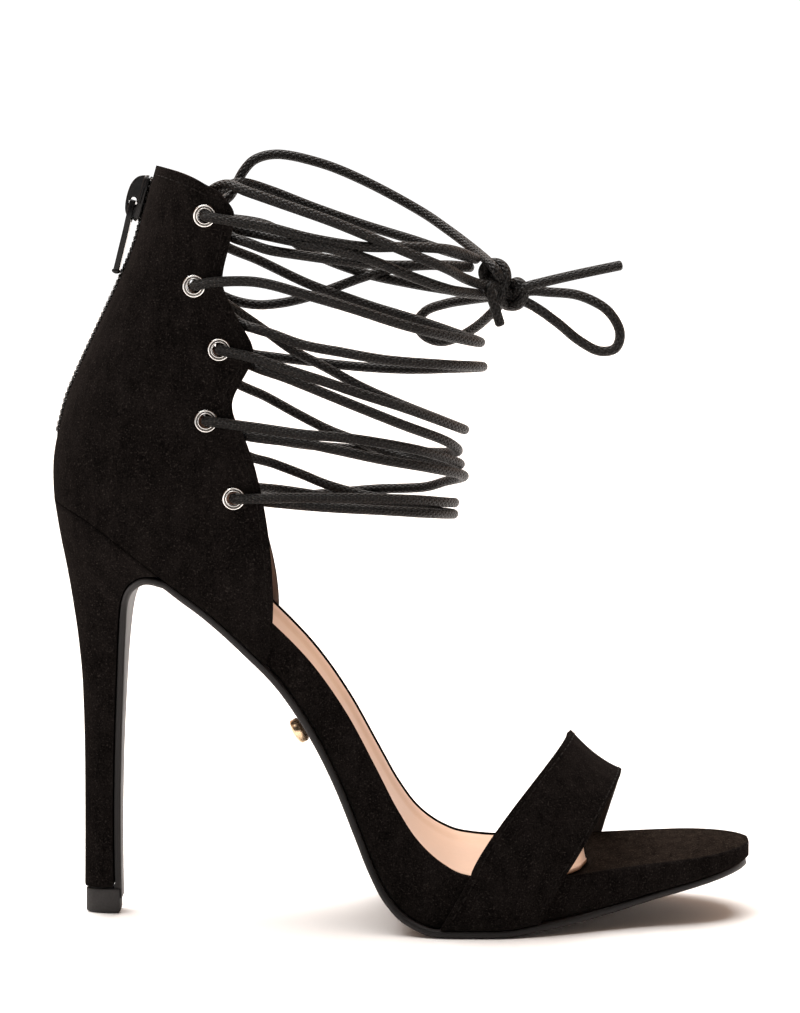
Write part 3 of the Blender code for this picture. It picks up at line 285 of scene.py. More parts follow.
# The counter above the footbed's rim, a row for each line from the zip to the scalloped front edge.
# half is the width where the round back ends, round is how far that is from the back.
# set_back is how far the medial front edge lies behind the lateral one.
COUNTER = Table(
    (
        "back_x", "back_z", "front_x", "front_z", "half", "round",
        "front_lateral", "front_medial", "set_back", "bow",
    ),
    [
        ("heel cup", -100.4, 134.0, -35.6, 103.0, 29.6, 29.0, 27.4, 24.6, 1.9, 0.0),
        ("heel", -98.5, 142.0, -37.7, 121.5, 29.8, 28.5, 27.8, 26.0, 6.0, 0.0),
        ("lower front", -96.2, 150.5, -42.6, 138.5, 29.0, 27.0, 27.6, 26.8, 5.0, 0.0),
        ("lower notch", -93.1, 158.0, -46.9, 149.8, 28.2, 25.5, 27.2, 27.0, 5.0, 0.0),
        ("lower scallop", -88.9, 167.0, -40.9, 164.2, 27.4, 24.0, 27.4, 27.2, 5.0, 0.0),
        ("ankle", -84.6, 176.0, -46.2, 175.5, 26.8, 22.0, 27.0, 27.0, 5.0, 0.0),
        ("upper notch", -80.6, 184.5, -49.7, 184.9, 26.4, 20.0, 26.8, 26.8, 5.0, 0.0),
        ("upper front", -76.2, 195.0, -47.5, 195.5, 26.6, 18.5, 27.0, 27.0, 5.0, 0.0),
        ("upper scallop", -73.5, 204.5, -46.3, 203.0, 27.0, 18.0, 27.4, 27.4, 4.5, 0.8),
        ("top", -69.9, 217.2, -50.5, 209.4, 27.4, 17.5, 27.6, 27.6, 4.0, 0.9),
    ],
)
COUNTER_SOLE_FRONT = -38.0
COUNTER_RIM_FRONT = -35.2
COUNTER_LAST = COUNTER.last + 2
ZIP_END = 2.65
ZIP_TOP = COUNTER_LAST - 0.23
ZIP_SLOT = 0.029
BACK_SHARE = 0.5
ANKLE_X = -60.0

# The toe strap's two edges: where they leave the sole and the rim, and the top of the arch.
# lean is the power of the way each side leans forward from its rim to the top.
STRAP = Table(
    (
        "sole_lateral", "rim_lateral", "crest_x", "crest_z",
        "rim_medial", "sole_medial", "lean_lateral", "lean_medial",
    ),
    [
        ("rear", 11.5, 20.0, 49.7, 53.0, 38.0, 33.0, 1.25, 0.6),
        ("front", 40.0, 46.7, 64.8, 41.0, 61.2, 56.6, 0.95, 1.0),
    ],
)
STRAP_TILT = 3.0
STRAP_SAG = 1.4
ARCH_POWER = 0.875
STRAP_MIDDLE = np.array([48.0, 2.0, 14.0])

# The eyelets, from the top down, on both sides of the counter.
EYELETS = Table(
    ("x", "z"),
    [
        ("1", -54.4, 202.8),
        ("2", -57.5, 183.2),
        ("3", -50.5, 165.3),
        ("4", -54.3, 145.3),
        ("5", -46.6, 123.6),
    ],
)
EYELET_SET_BACK = 3.0
EYELET_HOLE = 2.0
EYELET_BARREL = 2.4
EYELET_FLANGE = 3.3
EYELET_CUT = 2.75

# The zip's slider and pull, in the slider's own directions: out from the chain, and up along it.
SLIDER_Z = 207.4
SLIDER_HALF = 6.9
HINGE_OUT = 3.75
HINGE_UP = -1.7
HINGE_HOLE = 1.25
PULL_THICK = 1.7
PULL_LEAN = math.radians(14.0)

# A plain stud under the arch.
STUD_RADIUS = 3.7
STUD_NECK = 3.1
STUD_X = -24.8
STUD_Y = -16.0

# The lace round the ankle, seen from above: straight beside the counter, then round its front.
LACE_HALF = 28.3
LACE_TURN_X = -25.0
LACE_LAYER = 1.25
OUT = 1
IN = -1

# One run of the lace for each pair of eyelets: its layers on the lateral and the medial side, then
# its points (x, z) along the lateral side, at the front, and back along the medial side.
LACE_RUNS = {
    "bar": (
        (IN, IN),
        ((-35.5, 121.4), (-21.6, 121.1), (-4.3, 119.8), (9.0, 118.2)),
        (15.5, 116.7),
        ((11.0, 116.3), (-4.0, 117.2), (-22.0, 119.4), (-35.5, 121.4)),
    ),
    "lateral_5_medial_4": (
        (OUT, IN),
        ((-42.0, 123.8), (-30.0, 123.9), (-20.0, 123.9), (-7.4, 123.5), (4.4, 122.6), (13.0, 121.1)),
        (15.7, 120.0),
        ((9.0, 119.0), (-8.3, 119.6), (-21.7, 122.9), (-29.9, 126.2), (-38.1, 129.3)),
    ),
    "lateral_4_medial_5": (
        (IN, OUT),
        ((-41.0, 140.8), (-35.5, 140.1), (-26.2, 139.0), (-18.4, 137.4), (-4.4, 134.2), (8.0, 131.6)),
        (18.5, 127.8),
        ((13.1, 125.0), (7.2, 122.9), (-8.0, 121.6), (-23.6, 120.0), (-34.0, 119.4), (-42.0, 121.4)),
    ),
    "lateral_4_medial_3": (
        (OUT, IN),
        ((-49.5, 145.0), (-38.8, 143.5), (-27.0, 141.8), (-15.7, 140.8), (-4.3, 138.9), (7.0, 136.2)),
        (17.4, 131.2),
        ((12.0, 130.2), (-0.2, 131.8), (-15.1, 136.9), (-21.6, 139.4), (-29.9, 143.6), (-39.7, 149.0)),
    ),
    "lateral_3_medial_4": (
        (IN, OUT),
        ((-38.5, 159.8), (-32.0, 157.6), (-21.6, 153.4), (-10.1, 148.6), (1.3, 143.8), (12.9, 138.8)),
        (16.8, 135.2),
        ((14.0, 133.8), (-0.2, 133.2), (-23.6, 134.2), (-35.5, 135.8), (-46.5, 138.6)),
    ),
    "lateral_3_medial_2": (
        (OUT, IN),
        ((-46.2, 164.6), (-41.5, 163.4), (-32.8, 160.4), (-21.6, 156.8), (-10.1, 152.8), (1.3, 148.9)),
        (18.6, 141.2),
        ((12.0, 143.0), (1.0, 146.9), (-11.3, 152.0), (-22.3, 157.9), (-32.4, 163.2), (-40.5, 169.0)),
    ),
    "lateral_2_medial_3": (
        (IN, OUT),
        ((-40.0, 171.2), (-35.8, 169.9), (-27.1, 166.8), (-15.7, 164.6), (-4.2, 162.5), (12.9, 160.8)),
        (23.9, 159.4),
        ((16.0, 158.2), (1.0, 157.5), (-14.2, 158.2), (-28.2, 159.7), (-37.3, 160.8), (-45.0, 162.0)),
    ),
    "lateral_2_medial_1": (
        (OUT, IN),
        ((-53.0, 184.2), (-40.0, 184.4), (-24.9, 180.5), (-12.9, 176.9), (-0.6, 172.8), (8.4, 170.2)),
        (23.2, 166.4),
        ((16.0, 168.6), (5.1, 172.1), (-7.7, 175.8), (-17.2, 179.0), (-27.0, 182.5), (-42.0, 189.6)),
    ),
    "lateral_1_medial_2": (
        (IN, OUT),
        ((-42.0, 195.2), (-36.9, 193.4), (-27.9, 191.9), (-12.9, 189.9), (-3.7, 189.0), (10.0, 188.9)),
        (20.0, 188.0),
        (
            (12.5, 188.4), (-1.1, 187.4), (-10.9, 184.7), (-20.5, 181.2), (-27.0, 178.9), (-35.1, 177.0),
            (-42.9, 176.4), (-50.5, 178.0),
        ),
    ),
}

# The lace's two ties. Each leaves a top eyelet, goes once round the front, then inside the cuff
# round the back of the ankle, and comes forward over the cuff's top corner to the knot.
# Points are (x, y, z) inside the cuff and by the knot, and (x, z) where they follow the ankle.
LACE_TIES = {
    "lateral": (
        ((-49.0, 202.2), (-36.8, 199.7), (-24.8, 196.6), (-9.8, 194.2), (3.0, 194.1), (14.0, 193.3)),
        (21.8, 190.4),
        ((13.0, 192.6), (3.9, 195.6), (-10.9, 200.1), (-25.6, 205.2), (-38.5, 210.2)),
        (
            (-45.5, 26.6, 212.4), (-48.6, 24.6, 212.4), (-51.5, 22.2, 211.0), (-55.5, 19.2, 208.6),
            (-60.5, 13.5, 207.8), (-64.6, 0.0, 207.8), (-60.5, -13.5, 207.8), (-54.8, -19.8, 208.8),
            (-50.8, -23.0, 211.0), (-47.4, -26.2, 211.5),
        ),
        ((-42.8, 209.7), (-34.0, 206.6), (-18.7, 201.2), (-9.8, 197.6), (2.5, 192.5), (13.5, 187.9)),
        ((18.6, -11.5, 185.0), (23.5, -6.0, 183.2), (26.4, -3.8, 182.9), (28.6, -2.6, 182.2)),
    ),
    "medial": (
        ((-49.5, 203.2), (-39.7, 200.0), (-27.0, 192.0), (-10.9, 185.8), (2.1, 183.0), (12.0, 181.4)),
        (24.0, 180.2),
        ((14.6, 181.9), (5.3, 185.1), (-6.7, 190.0), (-15.1, 192.8), (-25.0, 194.8)),
        (
            (-33.0, -26.8, 196.4), (-39.0, -22.8, 197.6), (-45.0, -21.0, 198.8), (-50.0, -20.8, 199.8),
            (-56.0, -20.6, 201.4), (-63.5, -12.5, 202.2), (-66.8, 0.0, 203.2), (-64.0, 12.5, 204.2),
            (-58.0, 19.8, 205.0), (-53.6, 22.2, 206.2), (-50.4, 24.8, 208.6), (-48.4, 28.5, 212.7),
            (-46.4, 28.9, 216.2), (-43.3, 28.7, 219.3),
        ),
        ((-37.0, 220.9), (-23.8, 218.3), (-10.9, 213.1), (6.2, 203.9)),
        (
            (14.0, 18.5, 198.6), (18.6, 13.2, 195.2), (22.9, 6.0, 191.8), (26.4, -2.4, 188.6),
            (28.2, -4.2, 186.2), (29.0, -3.0, 184.2),
        ),
    ),
}
KNOT_X = 30.9

# Runs that touch where they cross, joined into one piece of lacing each.
LACE_GROUPS = {
    "5_4": ("bar", "lateral_5_medial_4", "lateral_4_medial_5"),
    "4_3": ("lateral_4_medial_3", "lateral_3_medial_4"),
    "3_2": ("lateral_3_medial_2", "lateral_2_medial_3"),
    "2_1": ("lateral_2_medial_1", "lateral_1_medial_2", "tie_lateral", "tie_medial"),
}

# The bow's two cords: the nodes that each stands for, then its points from the knot round its loop,
# back through the knot and along its free end.
LACE_BOW = {
    "lace_bow_front": (
        ("lace_loop_front", "lace_end_lower"),
        (
            (33.0, 0.4, 180.2), (37.8, 0.4, 181.2), (42.3, 1.4, 180.9), (51.9, 2.0, 179.8),
            (60.0, 1.0, 175.4), (63.4, -0.6, 169.2), (62.0, -2.0, 164.8), (57.6, -2.6, 164.0),
            (51.6, -2.4, 167.0), (45.6, -1.8, 171.9), (40.2, -1.4, 175.8), (36.4, -1.2, 178.0),
            (33.0, -1.0, 179.4), (30.2, -2.6, 181.6), (26.8, -4.6, 182.8), (25.6, -6.0, 182.2),
            (26.1, -6.4, 180.0), (27.2, -6.1, 176.7), (28.7, -5.6, 172.0),
        ),
    ),
    "lace_bow_back": (
        ("lace_loop_back", "lace_end_upper"),
        (
            (31.8, 2.4, 181.2), (30.6, 4.4, 180.6), (26.0, 12.0, 179.2), (20.0, 18.6, 178.2),
            (13.4, 24.0, 176.9), (7.2, 28.6, 174.4), (4.8, 30.2, 170.8), (7.0, 29.2, 167.2),
            (11.6, 26.6, 165.6), (16.4, 23.0, 166.8), (22.0, 16.0, 170.2), (26.6, 8.0, 174.6),
            (29.2, 4.4, 177.4), (31.6, 1.6, 179.0), (33.4, -2.2, 180.4), (36.0, -4.9, 182.4),
            (41.0, -5.0, 183.8), (50.0, -4.9, 185.9), (63.0, -4.0, 188.6),
        ),
    ),
}

# How the knot is tied: an upper turn that runs down the front, a turn round the bow's foot, and the
# two strands between them.
KNOT_LINES = (
    (
        (24.6, 1.8, 184.4), (23.9, 0.8, 186.6), (24.9, 0.4, 188.6), (26.9, 0.2, 189.3),
        (28.9, -0.8, 188.9), (30.3, -2.2, 187.2), (30.6, -3.3, 184.8), (29.7, -3.6, 182.0),
        (29.2, -3.0, 179.2), (30.4, -1.0, 177.2), (32.8, 1.0, 176.8),
    ),
    (
        (31.7, 2.2, 181.0), (32.3, -0.6, 183.2), (34.1, -3.0, 183.8), (35.6, -4.2, 182.1),
        (35.4, -4.2, 179.2), (33.9, -3.0, 177.3), (31.9, -0.5, 176.9), (30.6, 2.0, 178.0),
    ),
    ((25.6, 2.2, 186.6), (26.8, 0.4, 185.0), (28.9, -0.8, 182.3), (31.8, -1.2, 180.5), (34.5, -1.0, 180.1)),
    ((27.4, 1.6, 187.4), (28.8, 1.8, 184.6), (30.8, 1.4, 181.4), (33.0, 1.2, 178.6)),
)


# The last: lines and edges that the pieces share
def bottom(s):
    return np.array([FOOTBED.at("bottom_x", s), FOOTBED.at("bottom_z", s)])


def rim(s):
    return np.array([FOOTBED.at("rim_x", s), FOOTBED.at("rim_z", s)])


STEPS = np.linspace(0, FOOTBED.last, 401)
LINE = np.array([bottom(s) for s in STEPS])
RIM_LINE = np.array([rim(s) for s in STEPS])
TRAVEL = distances(LINE)


def station(travel):
    """Place along the footbed's rows at a distance from its heel end, also a little behind it."""
    if travel < 0:
        return travel * STEPS[1] / TRAVEL[1]
    return float(np.interp(travel, TRAVEL, STEPS))


def station_at_x(x):
    return float(np.interp(x, LINE[:, 0], STEPS))


def station_at_rim(x):
    return float(np.interp(x, RIM_LINE[:, 0], STEPS))


def edge(s, side, extra=0.0):
    """The footbed's edge, or an outline extra further out, as a y."""
    travel = float(np.interp(s, STEPS, TRAVEL))
    heel = round_end((travel + extra) / (HEEL_ROUND + extra))
    toe = round_end((LINE[-1, 0] + extra - FOOTBED.at("bottom_x", s)) / (TOE_ROUND + extra))
    return FOOTBED.at("swing", s) + side * (FOOTBED.at("half_width", s) + extra) * heel * toe


def recess(x):
    """How deep the bed lies under the rim so that the insole is flush, up to the insole's front."""
    fade = clamp((INSOLE_FRONT_X + RECESS_PAST - x) / RECESS_FADE)
    return (INSOLE_THICK + GAP) * fade


def bed_depth(s, across):
    """Depth of the bed under the rim, at a share across from the middle to the edge."""
    return recess(FOOTBED.at("rim_x", s)) + FOOTBED.at("dish", s) * (1 - across**2)


def section_points(s, profile):
    """Points of a section from (y, height above the bottom line) pairs."""
    low, high = bottom(s), rim(s)
    up = unit(high - low)
    return [(low[0] + up[0] * h, y, low[1] + up[1] * h) for y, h in profile]


def section_size(s, outline):
    """A section's height, and the middle and half width of an outline that gives a y for each side."""
    left, right = outline(s, LATERAL), outline(s, MEDIAL)
    return np.linalg.norm(rim(s) - bottom(s)), (left + right) / 2, (right - left) / 2


def insole_half(s, side):
    inset = RIM_LAND + 2 * GAP
    y = edge(s, side, -inset)
    corner = clamp((INSOLE_FRONT_X - FOOTBED.at("rim_x", s)) / INSOLE_CORNER)
    return y - side * INSOLE_CORNER * (1 - round_end(corner))


def seat_outline(travel, side):
    """The line round the seat where the counter's outside meets the heel, from the back."""
    skin = GAP + COUNTER_WALL
    s = station(travel - skin)
    x, z = bottom(s)
    if travel < HEEL_ROUND + skin:
        reach = round_end(travel / (HEEL_ROUND + skin))
        y = FOOTBED.at("swing", max(s, 0)) + side * (FOOTBED.at("half_width", max(s, 0)) + skin) * reach
    else:
        y = edge(s, side) + side * skin
    return np.array([x, y, z])


# The sole
def flap_point(place):
    return np.array([FLAP.at("x", place), FLAP.at("z", place)])


def flap_inside(place, depth):
    """A point behind the flap's front face."""
    return flap_point(place) + depth * square_to(heading(flap_point, place, 0.05))


def tread_point(s):
    """A point of the outsole's outer face under the footbed."""
    return bottom(s) - (OUTSOLE_THICK + GAP) * square_to(heading(bottom, s, 0.02))


# The upper
def counter_lines(t):
    """The counter's points at a share t from the zip to the front, one for each row upwards."""
    side = MEDIAL if t > 0 else LATERAL
    share = abs(t)
    turn = math.pi / 2 * min(share / BACK_SHARE, 1.0)
    past = max(share - BACK_SHARE, 0.0) / (1 - BACK_SHARE)
    skin = GAP + COUNTER_WALL
    curve = HEEL_ROUND + skin
    fronts = (station_at_x(COUNTER_SOLE_FRONT), station_at_rim(COUNTER_RIM_FRONT))
    points = []
    for front, line in zip(fronts, (bottom, rim)):
        length = float(np.interp(front, STEPS, TRAVEL)) + skin
        travel = curve * (1 - math.cos(turn)) + (length - curve) * past
        y = seat_outline(travel, side)[1]
        x, z = line(station(travel - skin))
        points.append(np.array([x, y, z]))
    for k in range(COUNTER.last + 1):
        value = {name: column[k] for name, column in COUNTER.values.items()}
        back = np.array([value["back_x"], value["back_z"]])
        front_x = value["front_x"] - (value["set_back"] if side == MEDIAL else 0.0)
        line = np.array([front_x, value["front_z"]]) - back
        length = np.linalg.norm(line)
        reach = (value["round"] * (1 - math.cos(turn)) + (length - value["round"]) * past) / length
        front_half = value["front_medial"] if side == MEDIAL else value["front_lateral"]
        y = value["half"] * math.sin(turn) if past == 0 else lerp(value["half"], front_half, past)
        x, z = back + line * reach
        points.append(np.array([x, side * y, z + 4 * value["bow"] * reach * (1 - reach)]))
    return points


def counter_point(t, v):
    return smooth(counter_lines(t), v)


def counter_place(x, z, side):
    """The shares (t, v) of the counter's point that shows at x, z from the side."""
    best = None
    low, high = np.array([0.3, 2.0]), np.array([1.0, float(COUNTER_LAST)])
    for _ in range(5):
        for share in np.linspace(low[0], high[0], 9):
            lines = counter_lines(side * share)
            for v in np.linspace(low[1], high[1], 15):
                point = smooth(lines, v)
                miss = math.hypot(point[0] - x, point[2] - z)
                if best is None or miss < best[0]:
                    best = (miss, share, v)
        reach = (high - low) / 5
        low = np.array(best[1:]) - reach
        high = np.array(best[1:]) + reach
    return side * best[1], best[2]


def counter_frame(t, v):
    """A point on the counter's outside with its outward direction."""
    across = counter_point(t + 0.01, v) - counter_point(t - 0.01, v)
    up = counter_point(t, v + 0.05) - counter_point(t, v - 0.05)
    point = counter_point(t, v)
    return point, facing_out(np.cross(up, across), point, np.array([ANKLE_X, 0.0, point[2]]))


def eyelet_frame(name, hand):
    k = EYELETS.row(name)
    x, z = EYELETS.at("x", k), EYELETS.at("z", k)
    if hand == MEDIAL:
        x -= EYELET_SET_BACK
    return counter_frame(*counter_place(x, z, hand))


def strap_value(name, w):
    """A value of the strap between its rear edge (w = 0) and its front edge (w = 1)."""
    return lerp(*STRAP.values[name], w)


def strap_arch(w, theta):
    """A point of the strap's arch, theta from the lateral rim over to the medial."""
    skin = STRAP_CLEAR + STRAP_WALL
    feet = []
    for name, hand in (("rim_lateral", LATERAL), ("rim_medial", MEDIAL)):
        s = station_at_rim(strap_value(name, w))
        x, z = rim(s)
        feet.append(np.array([x, edge(s, hand) + hand * skin, z]))
    lateral, medial = feet
    rise = math.sin(theta) ** ARCH_POWER
    if theta < math.pi / 2:
        foot, lean = lateral, strap_value("lean_lateral", w)
    else:
        foot, lean = medial, strap_value("lean_medial", w)
    x = lerp(foot[0], strap_value("crest_x", w), rise**lean) - STRAP_TILT * math.cos(theta) * rise
    y = lerp(lateral[1], medial[1], (1 - math.cos(theta)) / 2)
    crest_z = strap_value("crest_z", w) - STRAP_SAG * 4 * w * (1 - w)
    return np.array([x, y, lerp(foot[2], crest_z, rise)])


def strap_skirt(w, side_name, hand, share):
    """A point on the strap's end beside the footbed, a share of the way up from the sole."""
    low = station_at_x(strap_value("sole_" + side_name, w))
    high = station_at_rim(strap_value("rim_" + side_name, w))
    s = lerp(low, high, share)
    x, z = lerp(bottom(s), rim(s), share)
    return np.array([x, edge(s, hand) + hand * (STRAP_CLEAR + STRAP_WALL), z])


def strap_point(u, w):
    """A point of the strap: u 0 to 1 and 3 to 4 are its ends, 1 to 3 its arch, w from rear to front."""
    if u < 1:
        return strap_skirt(w, "lateral", LATERAL, u)
    if u > 3:
        return strap_skirt(w, "medial", MEDIAL, 4 - u)
    return strap_arch(w, math.pi * (u - 1) / 2)


def strap_frame(u, w):
    """A point on the strap's outside with its outward direction."""
    point = strap_point(u, w)
    across = strap_point(u, w + 0.02) - strap_point(u, w - 0.02)
    along = strap_point(u + 0.01, w) - strap_point(u - 0.01, w)
    return point, facing_out(np.cross(across, along), point, STRAP_MIDDLE)


def chain_frame(v):
    """A point of the zip's line with its outward and upward directions."""
    up = heading(lambda place: counter_point(0.0, place), v, 0.05)
    return counter_point(0.0, v), np.array([-up[2], 0.0, up[0]]), up


# The lace
def lace_y(x, tip_x, hand, offset):
    """How far out a run lies at x, in a layer offset from the ankle's line."""
    share = clamp((x - LACE_TURN_X) / (tip_x + offset - LACE_TURN_X))
    return hand * (LACE_HALF + offset) * math.sqrt(1 - share**2)


def run_points(layers, lateral, tip, medial):
    points = []
    for hand, layer, side in ((LATERAL, layers[0], lateral), (MEDIAL, layers[1], medial)):
        for k, (x, z) in enumerate(side):
            near_eyelet = 1 - k / len(side) if hand == LATERAL else (k + 1) / len(side)
            offset = LACE_LAYER * layer * min(1.0, 1.6 * near_eyelet)
            points.append((x, lace_y(x, tip[0], hand, offset), z))
        if hand == LATERAL:
            points.append((tip[0], 0.0, tip[1]))
    return points


def tie_points(name, first_side):
    """A tie's points in order, from its eyelet to the knot."""
    out, tip, back, cuff, forward, knot = LACE_TIES[name]
    points = []
    for hand, side in ((first_side, out), (-first_side, back)):
        points += [(x, lace_y(x, tip[0], hand, LACE_LAYER), z) for x, z in side]
        if hand == first_side:
            points.append((tip[0], 0.0, tip[1]))
    points += cuff
    points += [(x, lace_y(x, KNOT_X, first_side, LACE_LAYER), z) for x, z in forward]
    return [*points, *knot]


# Meshes
def metres(points):
    """Points in millimetres as metres from the shoe's origin."""
    return (np.asarray(points, float) - ORIGIN) * MM


def new_object(name, data):
    made = bpy.data.objects.new(name, data)
    bpy.context.scene.collection.objects.link(made)
    return made


def new_piece(name, mesh, body, stands_for):
    """A mesh's object, which rides on a body and stands for the nodes that are named."""
    made = new_object(name, mesh)
    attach(made, body)
    if stands_for:
        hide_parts(*stands_for)
    return made


def add_piece(name, points, faces, surfaces, stands_for, pick=None, body="shoe"):
    """A smooth mesh piece. pick gives a face's place in the list of surfaces."""
    mesh = bpy.data.meshes.new(name)
    mesh.from_pydata(metres(points).tolist(), [], faces)
    for surface in surfaces:
        mesh.materials.append(surface)
    if pick is not None:
        mesh.polygons.foreach_set("material_index", pick)
    mesh.polygons.foreach_set("use_smooth", [True] * len(faces))
    bm = bmesh.new()
    bm.from_mesh(mesh)
    bmesh.ops.recalc_face_normals(bm, faces=bm.faces)
    bm.to_mesh(mesh)
    bm.free()
    return new_piece(name, mesh, body, stands_for)


def grid_faces(rows, columns, wrap=False):
    faces = []
    for low in range(0, (rows - 1) * columns, columns):
        high = low + columns
        for c in range(columns if wrap else columns - 1):
            after = (c + 1) % columns
            faces.append((low + c, low + after, high + after, high + c))
    return faces


def loft(rings):
    """Points and faces of a closed solid through rings of equal point counts."""
    rings = np.array(rings, float)
    count = rings.shape[1]
    faces = grid_faces(len(rings), count, wrap=True)
    faces.append(tuple(reversed(range(count))))
    faces.append(tuple((len(rings) - 1) * count + k for k in range(count)))
    return rings.reshape(-1, 3), faces


def arc(centre, radius, start, end, count):
    """Points of an arc between two angles in degrees."""
    angles = np.radians(np.linspace(start, end, count))
    return [(centre[0] + radius * math.cos(a), centre[1] + radius * math.sin(a)) for a in angles]


def applied(made):
    """Replace an object's mesh by what its modifiers make of it."""
    depsgraph = bpy.context.evaluated_depsgraph_get()
    mesh = bpy.data.meshes.new_from_object(made.evaluated_get(depsgraph))
    made.modifiers.clear()
    made.data = mesh
    mesh.polygons.foreach_set("use_smooth", [True] * len(mesh.polygons))
    return made


def smooth_path(points, spacing):
    """Evenly spaced points on a rounded curve through a route's points."""
    points = np.array(points, float)
    ends = [2 * points[0] - points[1], *points, 2 * points[-1] - points[-2]]
    fine = []
    for a, b, c, d in zip(ends, ends[1:], ends[2:], ends[3:]):
        knots = [0.0]
        for p, q in ((a, b), (b, c), (c, d)):
            knots.append(knots[-1] + max(np.linalg.norm(q - p), 1e-6) ** 0.5)
        for f in np.linspace(0, 1, 16, endpoint=False):
            t = lerp(knots[1], knots[2], f)
            first = []
            for p, q, k, n in zip((a, b, c), (b, c, d), knots, knots[1:]):
                first.append(lerp(p, q, (t - k) / (n - k)))
            second = [
                lerp(first[0], first[1], (t - knots[0]) / (knots[2] - knots[0])),
                lerp(first[1], first[2], (t - knots[1]) / (knots[3] - knots[1])),
            ]
            fine.append(lerp(second[0], second[1], (t - knots[1]) / (knots[2] - knots[1])))
    fine = np.array([*fine, points[-1]])
    far = distances(fine)
    count = max(3, round(far[-1] / spacing) + 1)
    return np.array([point_at(fine, far, d) for d in np.linspace(0, far[-1], count)])


def tube(path, radius, around=14, round_ends=True):
    """Points, faces and braid directions (cosine, sine, distance) of a round tube along a path."""
    path = np.array(path, float)
    tangent = np.gradient(path, axis=0)
    tangent /= np.linalg.norm(tangent, axis=1)[:, None]
    normal = np.cross(tangent[0], [0.0, 0.0, 1.0])
    if np.linalg.norm(normal) < 0.1:
        normal = np.cross(tangent[0], [0.0, 1.0, 0.0])
    far = distances(path)
    rings, braid = [], []
    for k, (point, along) in enumerate(zip(path, tangent)):
        normal = unit(normal - along * normal.dot(along))
        side = np.cross(along, normal)
        sizes = [(0.0, 1.0)]
        if round_ends and k == 0:
            sizes = [*((-reach, size) for reach, size in reversed(TUBE_END)), *sizes]
        if round_ends and k == len(path) - 1:
            sizes += TUBE_END
        for reach, size in sizes:
            ring = []
            for angle in np.linspace(0, 2 * math.pi, around, endpoint=False):
                way = normal * math.cos(angle) + side * math.sin(angle)
                ring.append(point + along * reach * radius + way * radius * size)
                braid.append((math.cos(angle), math.sin(angle), far[k] * MM))
            rings.append(ring)
    points, faces = loft(rings)
    return points, faces, braid


def joined(parts):
    """Points, faces and braid directions, where there are any, of several meshes as one."""
    points, faces, extra = [], [], []
    for part in parts:
        start = len(points)
        points.extend(part[0])
        faces.extend(tuple(k + start for k in face) for face in part[1])
        if len(part) > 2:
            extra.extend(part[2])
    return points, faces, extra


# Materials
class Nodes:
    """A node tree, with short ways to add what it needs."""

    def __init__(self, tree, place):
        self.tree = tree
        self.place = self.node("TexCoord").outputs[place]

    def feed(self, socket, value):
        """Give a socket another node's output, or a value."""
        if hasattr(value, "is_linked"):
            self.tree.links.new(value, socket)
        elif socket.type == "RGBA":
            socket.default_value = (*value, 1.0)
        else:
            socket.default_value = value

    def node(self, kind, **inputs):
        made = self.tree.nodes.new("ShaderNode" + kind)
        for name, value in inputs.items():
            self.feed(made.inputs[name], value)
        return made

    def noise(self, scale, detail=3.0, roughness=0.55, place=None):
        place = place or self.place
        made = self.node("TexNoise", Scale=scale, Detail=detail, Roughness=roughness, Vector=place)
        return made.outputs["Fac"]

    def cells(self, scale):
        return self.node("TexVoronoi", Scale=scale, Vector=self.place).outputs["Distance"]

    def stretched(self, scale):
        return self.node("Mapping", Scale=scale, Vector=self.place).outputs["Vector"]

    def axis(self, letter, output=None):
        return self.node("SeparateXYZ", Vector=output or self.place).outputs[letter]

    def ramp(self, output, *stops):
        """Colours or greys at places along a value."""
        made = self.node("ValToRGB", Fac=output)
        elements = made.color_ramp.elements
        while len(elements) < len(stops):
            elements.new(0.5)
        for element, (place, colour) in zip(elements, stops):
            element.position = place
            element.color = (*colour, 1.0) if hasattr(colour, "__len__") else (colour, colour, colour, 1.0)
        return made.outputs["Color"]

    def math(self, kind, *values):
        made = self.node("Math")
        made.operation = kind
        for socket, value in zip(made.inputs, values):
            self.feed(socket, value)
        return made.outputs[0]

    def weighted(self, first, share, second, other):
        """The sum of two outputs, each times its share."""
        return self.math("ADD", self.math("MULTIPLY", first, share), self.math("MULTIPLY", second, other))

    def mix(self, share, first, second):
        """A share of the way from one colour to another."""
        made = self.node("Mix")
        made.data_type = "RGBA"
        for place, value in ((0, share), (6, first), (7, second)):
            self.feed(made.inputs[place], value)
        return made.outputs[2]

    def bump(self, height, depth_mm, strength, under=None):
        made = self.node("Bump", Strength=strength, Distance=depth_mm * MM, Height=height)
        if under is not None:
            self.feed(made.inputs["Normal"], under)
        return made.outputs["Normal"]


class Surface(Nodes):
    """A material with one shader."""

    def __init__(self, name, roughness, metallic=0.0, specular=0.5):
        self.material = bpy.data.materials.new(name)
        self.material.use_nodes = True
        super().__init__(self.material.node_tree, "Object")
        self.shader = self.tree.nodes["Principled BSDF"]
        self.set("Roughness", roughness)
        self.set("Metallic", metallic)
        self.set("Specular IOR Level", specular)

    def set(self, socket, value):
        self.shader.inputs[socket].default_value = value

    def to(self, socket, output):
        self.feed(self.shader.inputs[socket], output)


